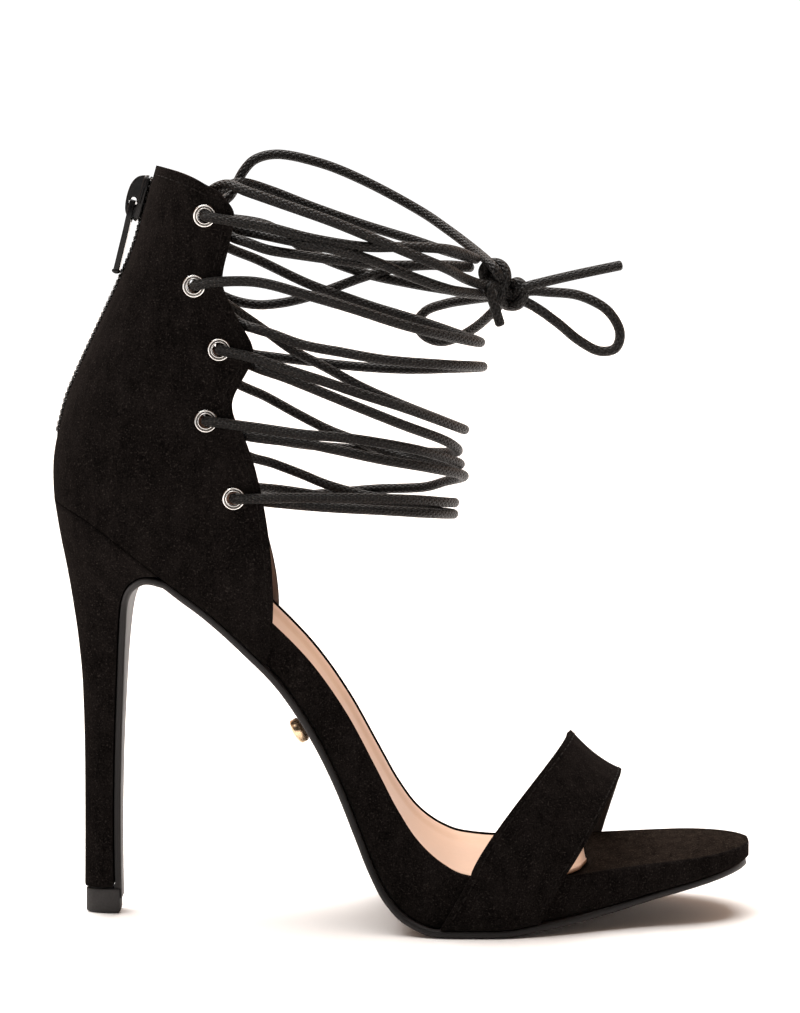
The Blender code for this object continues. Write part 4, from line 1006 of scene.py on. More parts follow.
def suede(name, dark, light, fleck, lay=(1.0, 1.0, 0.45), fleck_lay=(1.0, 1.0, 1.0)):
    """Napped cloth: short fibres that catch light in patches and as single flecks."""
    s = Surface(name, 0.95, specular=0.0)
    fibre = s.noise(2300.0, 4.0, 0.65)
    brushed = s.noise(260.0, 4.0, 0.62, s.stretched(lay))
    patch = s.math("SUBTRACT", s.noise(42.0, 4.0), 0.5)
    nap = s.math("ADD", s.weighted(fibre, 0.68, brushed, 0.32), s.math("MULTIPLY", patch, 0.1))
    cloth = s.ramp(nap, (0.4, dark), (0.64, light))
    single = s.ramp(s.noise(1900.0, 2.0, 0.5, s.stretched(fleck_lay)), (0.58, 0.0), (0.74, 1.0))
    s.to("Base Color", s.mix(single, cloth, fleck))
    s.to("Roughness", s.ramp(brushed, (0.3, 0.88), (0.7, 1.0)))
    s.set("Sheen Weight", 0.018)
    s.set("Sheen Roughness", 0.4)
    s.set("Sheen Tint", (0.8, 0.68, 0.62, 1.0))
    fine = s.bump(fibre, 0.25, 0.6)
    s.to("Normal", s.bump(brushed, 0.4, 0.45, fine))
    return s.material


def lining_leather(name, dark, light):
    """Thin smooth leather with a fine grain and faint rubbed patches."""
    s = Surface(name, 0.5, specular=0.4)
    grain = s.cells(1500.0)
    cloud = s.noise(45.0, 4.0, 0.6)
    pore = s.noise(900.0, 3.0)
    s.to("Base Color", s.ramp(s.weighted(cloud, 0.8, pore, 0.2), (0.32, dark), (0.68, light)))
    s.to("Roughness", s.ramp(cloud, (0.3, 0.44), (0.7, 0.58)))
    s.set("Sheen Weight", 0.12)
    fine = s.bump(grain, 0.06, 0.35)
    s.to("Normal", s.bump(cloud, 0.25, 0.2, fine))
    return s.material


def sole_surface(name, dark, light, rough):
    """Painted sole leather: nearly smooth, with fine lengthwise lines and dull rubbed places."""
    s = Surface(name, rough, specular=0.18)
    lines = s.noise(900.0, 3.0, 0.5, s.stretched((0.15, 1.0, 1.0)))
    cloud = s.noise(60.0, 4.0, 0.6)
    s.to("Base Color", s.ramp(cloud, (0.3, dark), (0.75, light)))
    s.to("Roughness", s.ramp(cloud, (0.3, rough - 0.06), (0.75, rough + 0.12)))
    s.set("Coat Weight", 0.06)
    s.set("Coat Roughness", 0.3)
    s.to("Normal", s.bump(lines, 0.05, 0.4))
    return s.material


def metal(name, colour, rough, scratch):
    """Plated metal with faint marks of handling."""
    s = Surface(name, rough, metallic=1.0)
    marks = s.noise(700.0, 3.0, 0.5, s.stretched((1.0, 1.0, 6.0)))
    cloud = s.noise(240.0, 3.0)
    shade = tuple(0.72 * c for c in colour)
    s.to("Base Color", s.ramp(cloud, (0.3, shade), (0.6, colour)))
    s.to("Roughness", s.ramp(marks, (0.35, rough), (0.75, min(rough + scratch, 1.0))))
    s.to("Normal", s.bump(marks, 0.03, 0.2))
    return s.material


def enamel(name, colour, rough, specular, coat):
    """Glossy painted metal."""
    s = Surface(name, rough, specular=specular)
    cloud = s.noise(400.0, 3.0)
    lighter = tuple(1.6 * c + 0.002 for c in colour)
    s.to("Base Color", s.ramp(cloud, (0.35, colour), (0.7, lighter)))
    s.to("Roughness", s.ramp(cloud, (0.35, rough), (0.8, rough + 0.12)))
    s.set("Coat Weight", coat)
    s.set("Coat Roughness", 0.08)
    s.to("Normal", s.bump(cloud, 0.02, 0.25))
    return s.material


def rubber(name, dark, light):
    """Dull rubber with a fine crumb."""
    s = Surface(name, 0.7, specular=0.35)
    crumb = s.noise(1500.0, 4.0, 0.6)
    cloud = s.noise(120.0, 3.0)
    s.to("Base Color", s.ramp(cloud, (0.3, dark), (0.7, light)))
    s.to("Roughness", s.ramp(crumb, (0.3, 0.6), (0.7, 0.82)))
    s.to("Normal", s.bump(crumb, 0.08, 0.4))
    return s.material


def woven_tape(name, dark, light, specular):
    """Zip tape and thread: a fine close weave."""
    s = Surface(name, 0.8, specular=specular)
    rows = s.math("SINE", s.math("MULTIPLY", s.axis("Z"), 14000.0))
    ribs = s.math("SINE", s.math("MULTIPLY", s.axis("Y"), 14000.0))
    weave = s.math("MULTIPLY", rows, ribs)
    cloud = s.noise(500.0, 3.0)
    s.to("Base Color", s.ramp(cloud, (0.3, dark), (0.7, light)))
    s.to("Roughness", s.ramp(cloud, (0.3, 0.7), (0.7, 0.9)))
    s.to("Normal", s.bump(weave, 0.08, 0.5))
    return s.material


def waxed_braid(name):
    """Round braided cord, waxed, with crossing strands, and light specks painted into its colour as
    highlights on the strands and where they cross.
    """
    s = Surface(name, 0.45, specular=0.18)
    read = s.tree.nodes.new("ShaderNodeAttribute")
    read.attribute_name = "braid"
    round_x = s.axis("X", read.outputs["Vector"])
    round_y = s.axis("Y", read.outputs["Vector"])
    along = s.math("MULTIPLY", s.axis("Z", read.outputs["Vector"]), 2 * math.pi / BRAID_PITCH / MM)
    turn = s.math("MULTIPLY", s.math("ARCTAN2", round_y, round_x), float(BRAID_STRANDS))
    left = s.math("SINE", s.math("ADD", turn, along))
    right = s.math("SINE", s.math("SUBTRACT", turn, along))
    strands = s.math("MAXIMUM", left, right)
    dots = s.math("MULTIPLY", left, right)
    speck = s.noise(1700.0, 3.0, 0.6)
    cloud = s.noise(150.0, 3.0)
    # Painted highlight: light specks, some at random and some where the strands cross, mixed into the base
    # colour.
    painted_glint = s.ramp(s.weighted(speck, 0.8, dots, 0.14), (0.48, 0.0), (0.6, 1.0))
    base = s.ramp(cloud, (0.3, (0.0018, 0.0016, 0.0015)), (0.7, (0.0045, 0.0039, 0.0036)))
    s.to("Base Color", s.mix(s.math("MULTIPLY", painted_glint, 0.45), base, (0.075, 0.066, 0.058)))
    s.to("Roughness", s.ramp(speck, (0.35, 0.34), (0.7, 0.6)))
    fine = s.bump(speck, 0.14, 0.5)
    s.to("Normal", s.bump(strands, 0.2, 0.8, fine))
    return s.material


# The sole and the bed
def stations(first, last, heel_count, middle_count, toe_count):
    """Stations from a heel travel to a toe travel, closer together round both ends."""
    toe_start = TRAVEL[-1] - TOE_ROUND if toe_count else last
    travels = []
    for k in range(heel_count):
        travels.append(first + (HEEL_ROUND - first) * (1 - math.cos(math.pi / 2 * k / heel_count)))
    travels.extend(np.linspace(HEEL_ROUND, toe_start, middle_count))
    for k in range(1, toe_count + 1):
        travels.append(toe_start + (last - toe_start) * math.sin(math.pi / 2 * k / toe_count))
    return [station(travel) for travel in travels]


def footbed_ring(s):
    """A section's points, and how many of them come before the bed."""
    height, middle, half = section_size(s, edge)
    fit = min(1.0, half / FOOTBED_FULL_HALF)
    low = FOOTBED_LOW_ROUND * min(fit, height / FOOTBED_FULL_HEIGHT)
    high = FOOTBED_TOP_ROUND * min(fit, height / FOOTBED_FULL_HEIGHT)
    land, step = RIM_LAND * fit, (RIM_LAND + GAP) * fit
    deep = recess(FOOTBED.at("rim_x", s))
    side = arc((half - low, low), low, -90, 0, 5)
    side += arc((half - high, height - high), high, 0, 90, 6)
    side += [(half - land, height), (half - lerp(land, step, 0.6), height - 0.35 * deep)]
    bed = [((half - step) * t, height - bed_depth(s, t)) for t in np.linspace(1, 0, 13)[:-1]]
    outline = side + bed
    ring = [(middle + y, h) for y, h in outline]
    ring.append((middle, height - bed_depth(s, 0.0)))
    ring += [(middle - y, h) for y, h in reversed(outline)]
    return section_points(s, ring), len(side)


def add_footbed(wrap, bed):
    places = stations(0.35, TRAVEL[-1] - 0.5, 22, 130, 24)
    places += [station_at_rim(INSOLE_FRONT_X + d) for d in (0.0, 0.5, 1.2, 2.0, 3.0)]
    rings = [footbed_ring(s) for s in sorted(places)]
    sides = rings[0][1]
    points, faces = loft([ring for ring, _ in rings])
    count = len(rings[0][0])
    pick = [1 if sides <= k % count < count - 1 - sides else 0 for k in range(len(faces))]
    return add_piece("footbed_wrap", points, faces, (wrap, bed), ("footbed",), pick)


def insole_ring(s):
    height, middle, half = section_size(s, insole_half)
    soft = min(INSOLE_SOFT_EDGE, half)
    low, high = [], []
    for t in (*np.linspace(1, 0.94, 4), *np.linspace(0.9, -0.9, 37), *np.linspace(-0.94, -1, 4)):
        h = height - bed_depth(s, t) + GAP
        low.append((middle + half * t, h))
        thick = INSOLE_THICK * (0.35 + 0.65 * round_end(half * (1 - abs(t)) / soft))
        hollow = INSOLE_HOLLOW * (1 - clamp((abs(t) - 0.66) / 0.16)) + INSOLE_MEDIAL_HOLLOW * max(t, 0.0) ** 6
        high.append((middle + half * t, h + max(thick - hollow, INSOLE_LEAST)))
    return section_points(s, low + high[::-1])


def add_insole(surface):
    front = float(np.interp(INSOLE_FRONT_X, RIM_LINE[:, 0], TRAVEL))
    places = stations(RIM_LAND + 2 * GAP + 0.4, front - INSOLE_CORNER, 20, 110, 0)
    corner = [station(front - INSOLE_CORNER * math.cos(math.pi / 2 * k / 12)) for k in range(1, 13)]
    points, faces = loft([insole_ring(s) for s in [*places, *corner]])
    return add_piece("insole_sock", points, faces, (surface,), ("insole",))


def sole_line():
    """The tread from the heel's foot to the toe, as points in the side view with both edges' y."""
    half = FLAP.at("half_width", 0) - 0.5
    line = [(np.array([FLAP.at("x", 0), z]), -half, half) for z in TONGUE_HEIGHTS]
    for place in np.linspace(0, FLAP.last, 81):
        half = FLAP.at("half_width", place)
        line.append((flap_point(place), -half, half))
    middle = np.linspace(station_at_x(TREAD_REAR_X), FOOTBED.row("toe"), 150)
    end = TRAVEL[-1] - TOE_ROUND
    travels = [end + (TOE_ROUND - TREAD_TOE_INSET) * math.sin(math.pi / 2 * k / 28) for k in range(2, 29)]
    toe = [s for s in map(station, travels) if s > FOOTBED.row("toe") + 0.05]
    for s in [*middle, *toe]:
        margin = FOOTBED.at("margin", s)
        line.append((tread_point(s), edge(s, LATERAL, margin), edge(s, MEDIAL, margin)))
    return line


def add_outsole(tread, side, bevel_highlight):
    line = sole_line()
    rings = []
    for k, (point, left, right) in enumerate(line):
        up = square_to(unit(line[min(k + 1, len(line) - 1)][0] - line[max(k - 1, 0)][0]))
        thin = TONGUE_THIN if k < len(TONGUE_HEIGHTS) else 1.0
        profile = [(right - inset * thin, n * thin) for inset, n in SOLE_EDGE]
        profile += [(left + inset * thin, n * thin) for inset, n in reversed(SOLE_EDGE)]
        rings.append([(point[0] + up[0] * n, y, point[1] + up[1] * n) for y, n in profile])
    points, faces = loft(rings)
    # The lower rounded edge takes the lighter surface, a painted highlight along it.
    half_kinds = [2] * 4 + [1] * 3
    kinds = [*half_kinds, 0, *reversed(half_kinds), 0]
    pick = [kinds[k % len(kinds)] for k in range(len(faces) - 2)] + [1, 1]
    return add_piece("outsole_sheet", points, faces, (tread, side, bevel_highlight), ("outsole",), pick)


def heel_turns():
    """For each point of a heel's ring its side, its angle round the back and its share along the side."""
    turns = []
    for t in np.linspace(-1, 1, HEEL_POINTS):
        angle = math.pi / 2 * min(abs(t) / HEEL_BACK_POINTS, 1.0)
        turns.append((t, angle, max(abs(t) - HEEL_BACK_POINTS, 0.0) / (1 - HEEL_BACK_POINTS)))
    return turns


def heel_ring(back, front, half):
    """A ring with a round back and a straight front, as far round as its own length."""
    ring = []
    for t, angle, past in heel_turns():
        share = HEEL_ROUND_SHARE * (1 - math.cos(angle)) + (1 - HEEL_ROUND_SHARE) * past
        x, z = lerp(back, front, share)
        ring.append((x, math.copysign(half * math.sin(angle), t), z))
    return np.array(ring)


def seat_ring():
    """The heel's top ring, on the seat under the counter and the footbed."""
    ring = []
    curve = HEEL_ROUND + GAP + COUNTER_WALL
    for t, angle, past in heel_turns():
        travel = curve * (1 - math.cos(angle)) + (HEEL_SEAT_FRONT - curve) * past
        ring.append(seat_outline(travel, MEDIAL if t > 0 else LATERAL) - np.array([0.0, 0.0, GAP]))
    return np.array(ring)


def stacked(ring, steps):
    """Copies of a ring, each drawn in to a size and lifted."""
    middle = ring.mean(axis=0)
    copies = []
    for size, lift in steps:
        copy = middle + (ring - middle) * size
        copy[:, 2] = ring[:, 2] + lift
        copies.append(copy)
    return copies


def add_heel(surface):
    rings = []
    for place in np.linspace(0, HEEL.last, 90):
        back = np.array([HEEL.at("back_x", place), HEEL.at("back_z", place)])
        breast = HEEL.at("breast", place)
        front = flap_inside(breast, OUTSOLE_THICK + GAP + 0.1)
        rings.append(heel_ring(back, front, FLAP.at("half_width", breast) + 0.2))
    rolled = stacked(rings[0], HEEL_FOOT)
    rings[0] = rings[0] + np.array([0.0, 0.0, HEEL_FOOT_LIFT])
    seat = seat_ring()
    between = [lerp(rings[-1], seat, f) for f in (0.35, 0.7)]
    points, faces = loft([*rolled, *rings, *between, seat])
    faces.pop()
    start = len(points) - len(seat)
    count = len(seat)
    for k in range(count // 2):
        corners = (start + k, start + k + 1, start + count - 2 - k, start + count - 1 - k)
        faces.append(tuple(dict.fromkeys(corners)))
    return add_piece("heel_wrap", points, faces, (surface,), ("heel",))


def add_heel_tip(surface):
    back = np.array([HEEL.at("back_x", 0) + 0.4, 0.0])
    front = np.array([FLAP.at("x", 0) - 0.6, 0.0])
    ring = heel_ring(back, front, FLAP.at("half_width", 0) - 0.3)
    points, faces = loft(stacked(ring, TIP_RINGS))
    return add_piece("heel_tip_block", points, faces, (surface,), ("heel_tip",))


# The upper
def add_wall(name, grid, wall, outside, inside, stands_for, leave_out=None, round_off=0.6):
    """A soft wall of even thickness inside a grid of points, with rounded edges and a lining."""
    grid = np.array(grid, float)
    rows, columns = grid.shape[:2]
    faces = grid_faces(rows, columns)
    if leave_out:
        faces = [f for k, f in enumerate(faces) if not leave_out(k // (columns - 1), k % (columns - 1))]
    points = grid.reshape(-1, 3)
    used = sorted({k for face in faces for k in face})
    order = {k: n for n, k in enumerate(used)}
    mesh = bpy.data.meshes.new(name)
    mesh.from_pydata(metres(points[used]).tolist(), [], [tuple(order[k] for k in face) for face in faces])
    mesh.materials.append(outside)
    mesh.materials.append(inside)
    bm = bmesh.new()
    bm.from_mesh(mesh)
    bm.normal_update()
    bm.faces.ensure_lookup_table()
    heart = sum((v.co for v in bm.verts), Vector()) / len(bm.verts)
    face = bm.faces[0]
    if face.normal.dot(face.calc_center_median() - heart) < 0:
        bmesh.ops.reverse_faces(bm, faces=bm.faces)
    bm.to_mesh(mesh)
    bm.free()
    made = new_piece(name, mesh, "shoe", stands_for)
    shell = made.modifiers.new("wall", "SOLIDIFY")
    shell.thickness = wall * MM
    shell.offset = -1.0
    shell.use_even_offset = True
    shell.material_offset = 1
    soft = made.modifiers.new("edges", "BEVEL")
    soft.width = round_off * MM
    soft.segments = 3
    soft.limit_method = "ANGLE"
    soft.angle_limit = math.radians(55)
    return applied(made)


def counter_grid(columns, rows):
    """The counter's outside, eased where the heel cup rises from the rim."""
    lines = [counter_lines(t) for t in columns]
    grid = np.array([[smooth(line, v) for line in lines] for v in rows])
    ease = [0.5 * round_end(min((v - 0.4) / 0.8, (3.6 - v) / 0.8)) if 0.4 < v < 3.6 else 0.0 for v in rows]
    for _ in range(60):
        middle = (grid[:-2] + grid[2:]) / 2
        grid[1:-1] += (middle - grid[1:-1]) * np.array(ease)[1:-1, None, None]
    return grid


def add_counter(outside, inside):
    side = [*np.linspace(ZIP_SLOT, BACK_SHARE, 38), *np.linspace(BACK_SHARE, 1.0, 40)[1:]]
    columns = [*[-t for t in reversed(side)], 0.0, *side]
    below = np.linspace(0.0, ZIP_END, 24)
    above = np.linspace(ZIP_END, COUNTER_LAST, 96)[1:]
    middle = len(side)
    made = add_wall(
        "counter_suede",
        counter_grid(columns, [*below, *above]),
        COUNTER_WALL,
        outside,
        inside,
        ("counter",),
        lambda row, column: row >= len(below) - 1 and column in (middle - 1, middle),
    )
    bm = bmesh.new()
    for name in EYELETS.names:
        for hand in (LATERAL, MEDIAL):
            point, outward = eyelet_frame(name, hand)
            turn = Vector(outward).to_track_quat("Z", "X").to_matrix().to_4x4()
            bmesh.ops.create_cone(
                bm,
                cap_ends=True,
                segments=40,
                radius1=EYELET_CUT * MM,
                radius2=EYELET_CUT * MM,
                depth=EYELET_CUT_DEPTH * MM,
                matrix=Matrix.Translation(metres(point)) @ turn,
            )
    mesh = bpy.data.meshes.new("eyelet_cutters")
    bm.to_mesh(mesh)
    bm.free()
    cutter = new_object("eyelet_cutters", mesh)
    holes = made.modifiers.new("holes", "BOOLEAN")
    holes.operation = "DIFFERENCE"
    holes.solver = "EXACT"
    holes.object = cutter
    applied(made)
    bpy.data.objects.remove(cutter, do_unlink=True)
    return made


def add_strap(outside, inside):
    columns = [*np.linspace(0, 1, 12)[:-1], *np.linspace(1, 3, 110), *np.linspace(3, 4, 12)[1:]]
    grid = [[strap_point(u, w) for u in columns] for w in np.linspace(0, 1, 34)]
    return add_wall("toe_strap_suede", grid, STRAP_WALL, outside, inside, ("toe_strap",), round_off=0.5)


def stitch_row(frames):
    """Points and faces of a row of stitches along points on a surface with their outward directions."""
    points = np.array([point for point, _ in frames])
    outward = np.array([way for _, way in frames])
    far = distances(points)
    parts = []
    for start in np.arange(0.8, far[-1] - STITCH_LENGTH - 0.5, STITCH_LENGTH + STITCH_GAP):
        path = []
        for share, lift in STITCH_LIFT:
            place = start + STITCH_LENGTH * share
            path.append(point_at(points, far, place) + unit(point_at(outward, far, place)) * lift)
        parts.append(tube(path, STITCH_RADIUS, around=7, round_ends=False)[:2])
    return parts


def counter_stitches():
    """A row inside each front edge and on along the top, and one beside the zip."""
    parts = []
    for side in (LATERAL, MEDIAL):
        frames = []
        for v in np.linspace(1.15, COUNTER_LAST - 0.42, 120):
            step = np.linalg.norm(counter_point(side, v) - counter_point(side * 0.99, v))
            frames.append(counter_frame(side * (1 - 0.01 * COUNTER_STITCH_INSET / step), v))
        for t in side * np.linspace(0.93, 0.1, 60):
            step = np.linalg.norm(counter_point(t, COUNTER_LAST) - counter_point(t, COUNTER_LAST - 0.1))
            frames.append(counter_frame(t, COUNTER_LAST - 0.1 * COUNTER_STITCH_INSET / step))
        parts += stitch_row(frames)
        beside_zip = side * (ZIP_SLOT + 0.03)
        heights = np.linspace(ZIP_END, COUNTER_LAST - 0.2, 90)
        parts += stitch_row([counter_frame(beside_zip, v) for v in heights])
    return parts


def strap_stitches():
    """A row inside the strap's rear edge and one inside its front edge."""
    parts = []
    inset = STRAP_STITCH_INSET / STRAP_WIDTH
    for w in (inset, 1 - inset):
        parts += stitch_row([strap_frame(u, w) for u in np.linspace(0.15, 3.85, 160)])
    return parts


def add_stitches(thread):
    points, faces, _ = joined([*counter_stitches(), *strap_stitches()])
    return add_piece("stitches", points, faces, (thread,), ())


# Metal pieces and zip
def turned(profile, frame_of, segments):
    """Rings of a profile of (radius, height) pairs turned round a frame's direction."""
    point, outward = frame_of
    turn = np.array(Vector(outward).to_track_quat("Z", "X").to_matrix())
    rings = []
    for radius, height in profile:
        angles = np.linspace(0, 2 * math.pi, segments, endpoint=False)
        local = np.array([(radius * math.cos(a), radius * math.sin(a), height) for a in angles])
        rings.append(local @ turn.T + point)
    return rings


def bead(middle, wide, base, tall, count):
    """A half-round bead of a turned profile, from its inner foot to its outer one."""
    angles = np.linspace(0, math.pi, count)
    return [(middle - wide * math.cos(a), base + tall * math.sin(a)) for a in angles]


def add_eyelets(surface, tarnish):
    barrel, hole, inner_end = EYELET_BARREL, EYELET_HOLE, -COUNTER_WALL - 0.5
    outer = EYELET_FLANGE - 0.1
    profile = bead(hole + HOLE_BEAD, HOLE_BEAD, 0.42, 0.2, 9)
    groove = len(profile) - 1
    profile += [(hole + 2 * HOLE_BEAD + 0.02, EYELET_BASE), (outer - 2 * RIM_BEAD - 0.02, EYELET_BASE)]
    profile += bead(outer - RIM_BEAD, RIM_BEAD, 0.3, 0.32, 10)
    profile += [(outer - 0.05, 0.1), (outer - 0.3, 0.02), (barrel, 0.02), (barrel, inner_end)]
    profile += [(hole, inner_end), (hole, -0.6)]
    for name in EYELETS.names:
        for side_name, hand in (("lateral", LATERAL), ("medial", MEDIAL)):
            rings = turned([*profile, profile[0]], eyelet_frame(name, hand), 48)
            count = len(rings[0])
            points = np.array(rings[:-1]).reshape(-1, 3)
            faces = grid_faces(len(rings), count, wrap=True)
            faces = [tuple(k % len(points) for k in face) for face in faces]
            node = f"eyelet_{side_name}_{name}"
            pick = [1 if groove <= k // count <= groove + 2 else 0 for k in range(len(faces))]
            add_piece(node + "_ring", points, faces, (surface, tarnish), (node,), pick)


def add_stud(surface):
    s = station_at_x(STUD_X)
    x, z = tread_point(s)
    along = heading(bottom, s, 0.02)
    outward = np.array([along[1], 0.0, -along[0]])
    angles = np.linspace(math.radians(88), 0, 12)
    head = [(STUD_RADIUS * math.cos(a), STUD_SIDE + STUD_DOME * math.sin(a)) for a in angles]
    profile = [*head, (STUD_RADIUS, 1.5), (STUD_RADIUS - 0.2, 1.2), (STUD_NECK, 1.0), (STUD_NECK, 0.1)]
    rings = turned(profile, (np.array([x, STUD_Y, z]), outward), 40)
    points, faces = loft(rings)
    return add_piece("sole_stud_head", points, faces, (surface,), ("sole_stud",))


def zip_line(first, last, spacing):
    """Points with their directions along the zip, evenly spaced."""
    fine = np.linspace(first, last, 400)
    places = np.array([chain_frame(v)[0] for v in fine])
    far = distances(places)
    count = int(far[-1] / spacing)
    return [chain_frame(float(np.interp(spacing * k, far, fine))) for k in range(count + 1)]


def zip_tape():
    """The zip's tape, sewn on behind the slit."""
    rings = []
    for v in np.linspace(ZIP_END - 0.15, COUNTER_LAST - 0.06, 60):
        line = [counter_frame(t, v) for t in np.linspace(-0.075, 0.075, 11)]
        outer = [point - outward * (COUNTER_WALL + 0.2) for point, outward in line]
        inner = [point - outward * (COUNTER_WALL + 0.6) for point, outward in line]
        rings.append([*outer, *reversed(inner)])
    return loft(rings)


def add_zip_chain(tape, coil):
    rings = []
    for point, out, _ in zip_line(ZIP_END + 0.1, ZIP_TOP, 1.0):
        rings.append([point + out * n + np.array([0.0, y, 0.0]) for y, n in CHAIN_PROFILE])
    base = joined([loft(rings), zip_tape()])[:2]
    parts = [base]
    steps = zip_line(ZIP_END + 0.16, ZIP_TOP - 0.04, COIL_PITCH / COIL_POINTS)
    for side in (LATERAL, MEDIAL):
        path = []
        for k, (point, out, _) in enumerate(steps):
            angle = 2 * math.pi * k / COIL_POINTS + (0.0 if side == MEDIAL else math.pi)
            reach = side * (COIL_MIDDLE + COIL_WIDE * math.cos(angle))
            height = COIL_LIFT + COIL_TALL * math.sin(angle)
            path.append(point + out * height + np.array([0.0, reach, 0.0]))
        parts.append(tube(path, COIL_RADIUS, around=8)[:2])
    points, faces, _ = joined(parts)
    pick = [0] * len(base[1]) + [1] * (len(faces) - len(base[1]))
    return add_piece("zip_coil_chain", points, faces, (tape, coil), ("zip_chain",), pick)


def slider_frame():
    places = np.linspace(ZIP_END, COUNTER_LAST, 400)
    v = min(places, key=lambda place: abs(counter_point(0.0, place)[2] - SLIDER_Z))
    return chain_frame(v)


def slider_points(local):
    """Points given as (out, across, up) from the slider's middle."""
    point, out, up = slider_frame()
    return [point + out * a + np.array([0.0, b, 0.0]) + up * c for a, b, c in local]


def rounded_plate(outline, low, high, round_off, count=4):
    """A plate over an outline of (across, up) pairs, rounded on its outer face, as (out, across, up)."""
    outline = np.array(outline)
    middle = outline.mean(axis=0)
    rings = [[(low, *p) for p in outline]]
    for angle in np.linspace(0, math.pi / 2, count + 1):
        inset = round_off * (1 - math.cos(angle))
        size = 1 - inset / np.linalg.norm(outline - middle, axis=1)
        shrunk = middle + (outline - middle) * size[:, None]
        rings.append([(high - round_off + round_off * math.sin(angle), *p) for p in shrunk])
    return rings


def flat_piece(outlines, half_thick, round_off):
    """Local points and faces of a flat piece with rounded edges: the first outline less the others."""
    curve = bpy.data.curves.new("flat_piece", "CURVE")
    curve.dimensions = "2D"
    curve.fill_mode = "BOTH"
    curve.extrude = half_thick - round_off
    curve.bevel_depth = round_off
    curve.bevel_resolution = 3
    curve.offset = -round_off
    for outline in outlines:
        spline = curve.splines.new("POLY")
        spline.points.add(len(outline) - 1)
        for point, (x, y) in zip(spline.points, outline):
            point.co = (x, y, 0.0, 1.0)
        spline.use_cyclic_u = True
    made = new_object("flat_piece", curve)
    mesh = bpy.data.meshes.new_from_object(made.evaluated_get(bpy.context.evaluated_depsgraph_get()))
    points = [tuple(v.co) for v in mesh.vertices]
    faces = [tuple(p.vertices) for p in mesh.polygons]
    bpy.data.objects.remove(made, do_unlink=True)
    return points, faces


def round_outline(corners, spacing=0.35):
    """A closed outline, smoothed through its corners."""
    corners = [(*c, 0.0) for c in corners]
    line = smooth_path([*corners[-2:], *corners, *corners[:2]], spacing / 4)
    start = int(np.argmin(np.linalg.norm(line[: len(line) // 2] - corners[0], axis=1)))
    half = len(line) // 2
    end = half + int(np.argmin(np.linalg.norm(line[half:] - corners[0], axis=1)))
    return [(x, y) for x, y, _ in line[start:end:4]]


def add_zip_slider(surface):
    wide, tall = SLIDER_WIDE, SLIDER_HALF
    body = []
    for angle in np.linspace(0, 2 * math.pi, 56, endpoint=False):
        c, s = math.cos(angle), math.sin(angle)
        across = wide * math.copysign(abs(c) ** 0.4, c)
        up = tall * math.copysign(abs(s) ** 0.4, s)
        body.append((across * (1.0 - 0.16 * max(-up / tall, 0.0)), up))
    plate = rounded_plate(body, SLIDER_LOW, SLIDER_HIGH, SLIDER_ROUND)
    parts = [loft([slider_points(ring) for ring in plate])]
    for side in (LATERAL, MEDIAL):
        rings = []
        for up, size in ((-tall + 0.7, 0.8), (-tall + 1.1, 0.92), (tall - 1.1, 1.0), (tall - 0.7, 0.96)):
            rings.append(slider_points([(out, side * across * size, up) for out, across in SLIDER_RAIL]))
        parts.append(loft(rings))
    slot = arc((HINGE_OUT, HINGE_UP), HINGE_HOLE, 180, 360, 14)
    slot += arc((HINGE_OUT - 0.05, HINGE_UP + 0.6), HINGE_HOLE - 0.4, 0, 180, 14)
    local, faces = flat_piece([round_outline(SLIDER_CROWN), slot], 1.5, 0.5)
    parts.append((slider_points([(out, across, up) for out, up, across in local]), faces))
    points, faces, _ = joined(parts)
    return add_piece("zip_slider_body", points, faces, (surface,), ("zip_slider",))


def add_zip_pull(surface):
    """A flat pull on its pin: a frame round the slider's crown, a plain tab and a lip at the end."""
    point, out, up = slider_frame()
    hinge = point + out * HINGE_OUT + up * HINGE_UP
    rise = np.array([math.sin(PULL_LEAN), 0.0, math.cos(PULL_LEAN)])
    side = np.array([0.0, 1.0, 0.0])
    thick = np.cross(side, rise)
    bar, leg, wide, neck, end = 0.6, 1.7, 2.85, 5.8, 21.0
    outline = [(-wide, -neck), (-wide, 0.1), (-wide + 0.45, bar)]
    outline += [(wide - 0.45, bar), (wide, 0.1), (wide, -neck)]
    outline += [(2.35, -neck - 1.5), (2.3, -neck - 3.0), (2.55, -end + 0.4), (2.4, -end)]
    outline += [(-2.4, -end), (-2.55, -end + 0.4), (-2.3, -neck - 3.0), (-2.35, -neck - 1.5)]
    opening = [(-leg, -neck + 0.25), (leg, -neck + 0.25), (leg, -bar), (-leg, -bar)]
    local, faces = flat_piece([outline, opening], PULL_THICK / 2, 0.28)
    parts = [([hinge + side * a + rise * b + thick * c for a, b, c in local], faces)]
    lip = []
    for angle in np.linspace(0, 2 * math.pi, 24, endpoint=False):
        lip.append((0.75 * math.sin(angle), (PULL_THICK / 2 + 0.35) * math.cos(angle)))
    rings = []
    for across, size in ((-2.75, 0.5), (-2.65, 0.85), (-2.4, 1.0), (2.4, 1.0), (2.65, 0.85), (2.75, 0.5)):
        middle = hinge + side * across
        rings.append([middle + rise * (-end + 0.6 + b * size) + thick * c * size for b, c in lip])
    parts.append(loft(rings))
    points, faces, _ = joined(parts)
    return add_piece("zip_pull_tab", points, faces, (surface,), ("zip_pull",), body="zip_pull")


# The lace
def front_edge(hand):
    """Points of the counter's front edge, from low to high."""
    return np.array([counter_point(hand, v) for v in np.linspace(0.6, COUNTER_LAST, 160)])


FRONT_EDGES = {hand: front_edge(hand) for hand in (LATERAL, MEDIAL)}


def front_at(hand, z):
    """The front edge's point at a height."""
    line = FRONT_EDGES[hand]
    return point_at(line, line[:, 2], z)


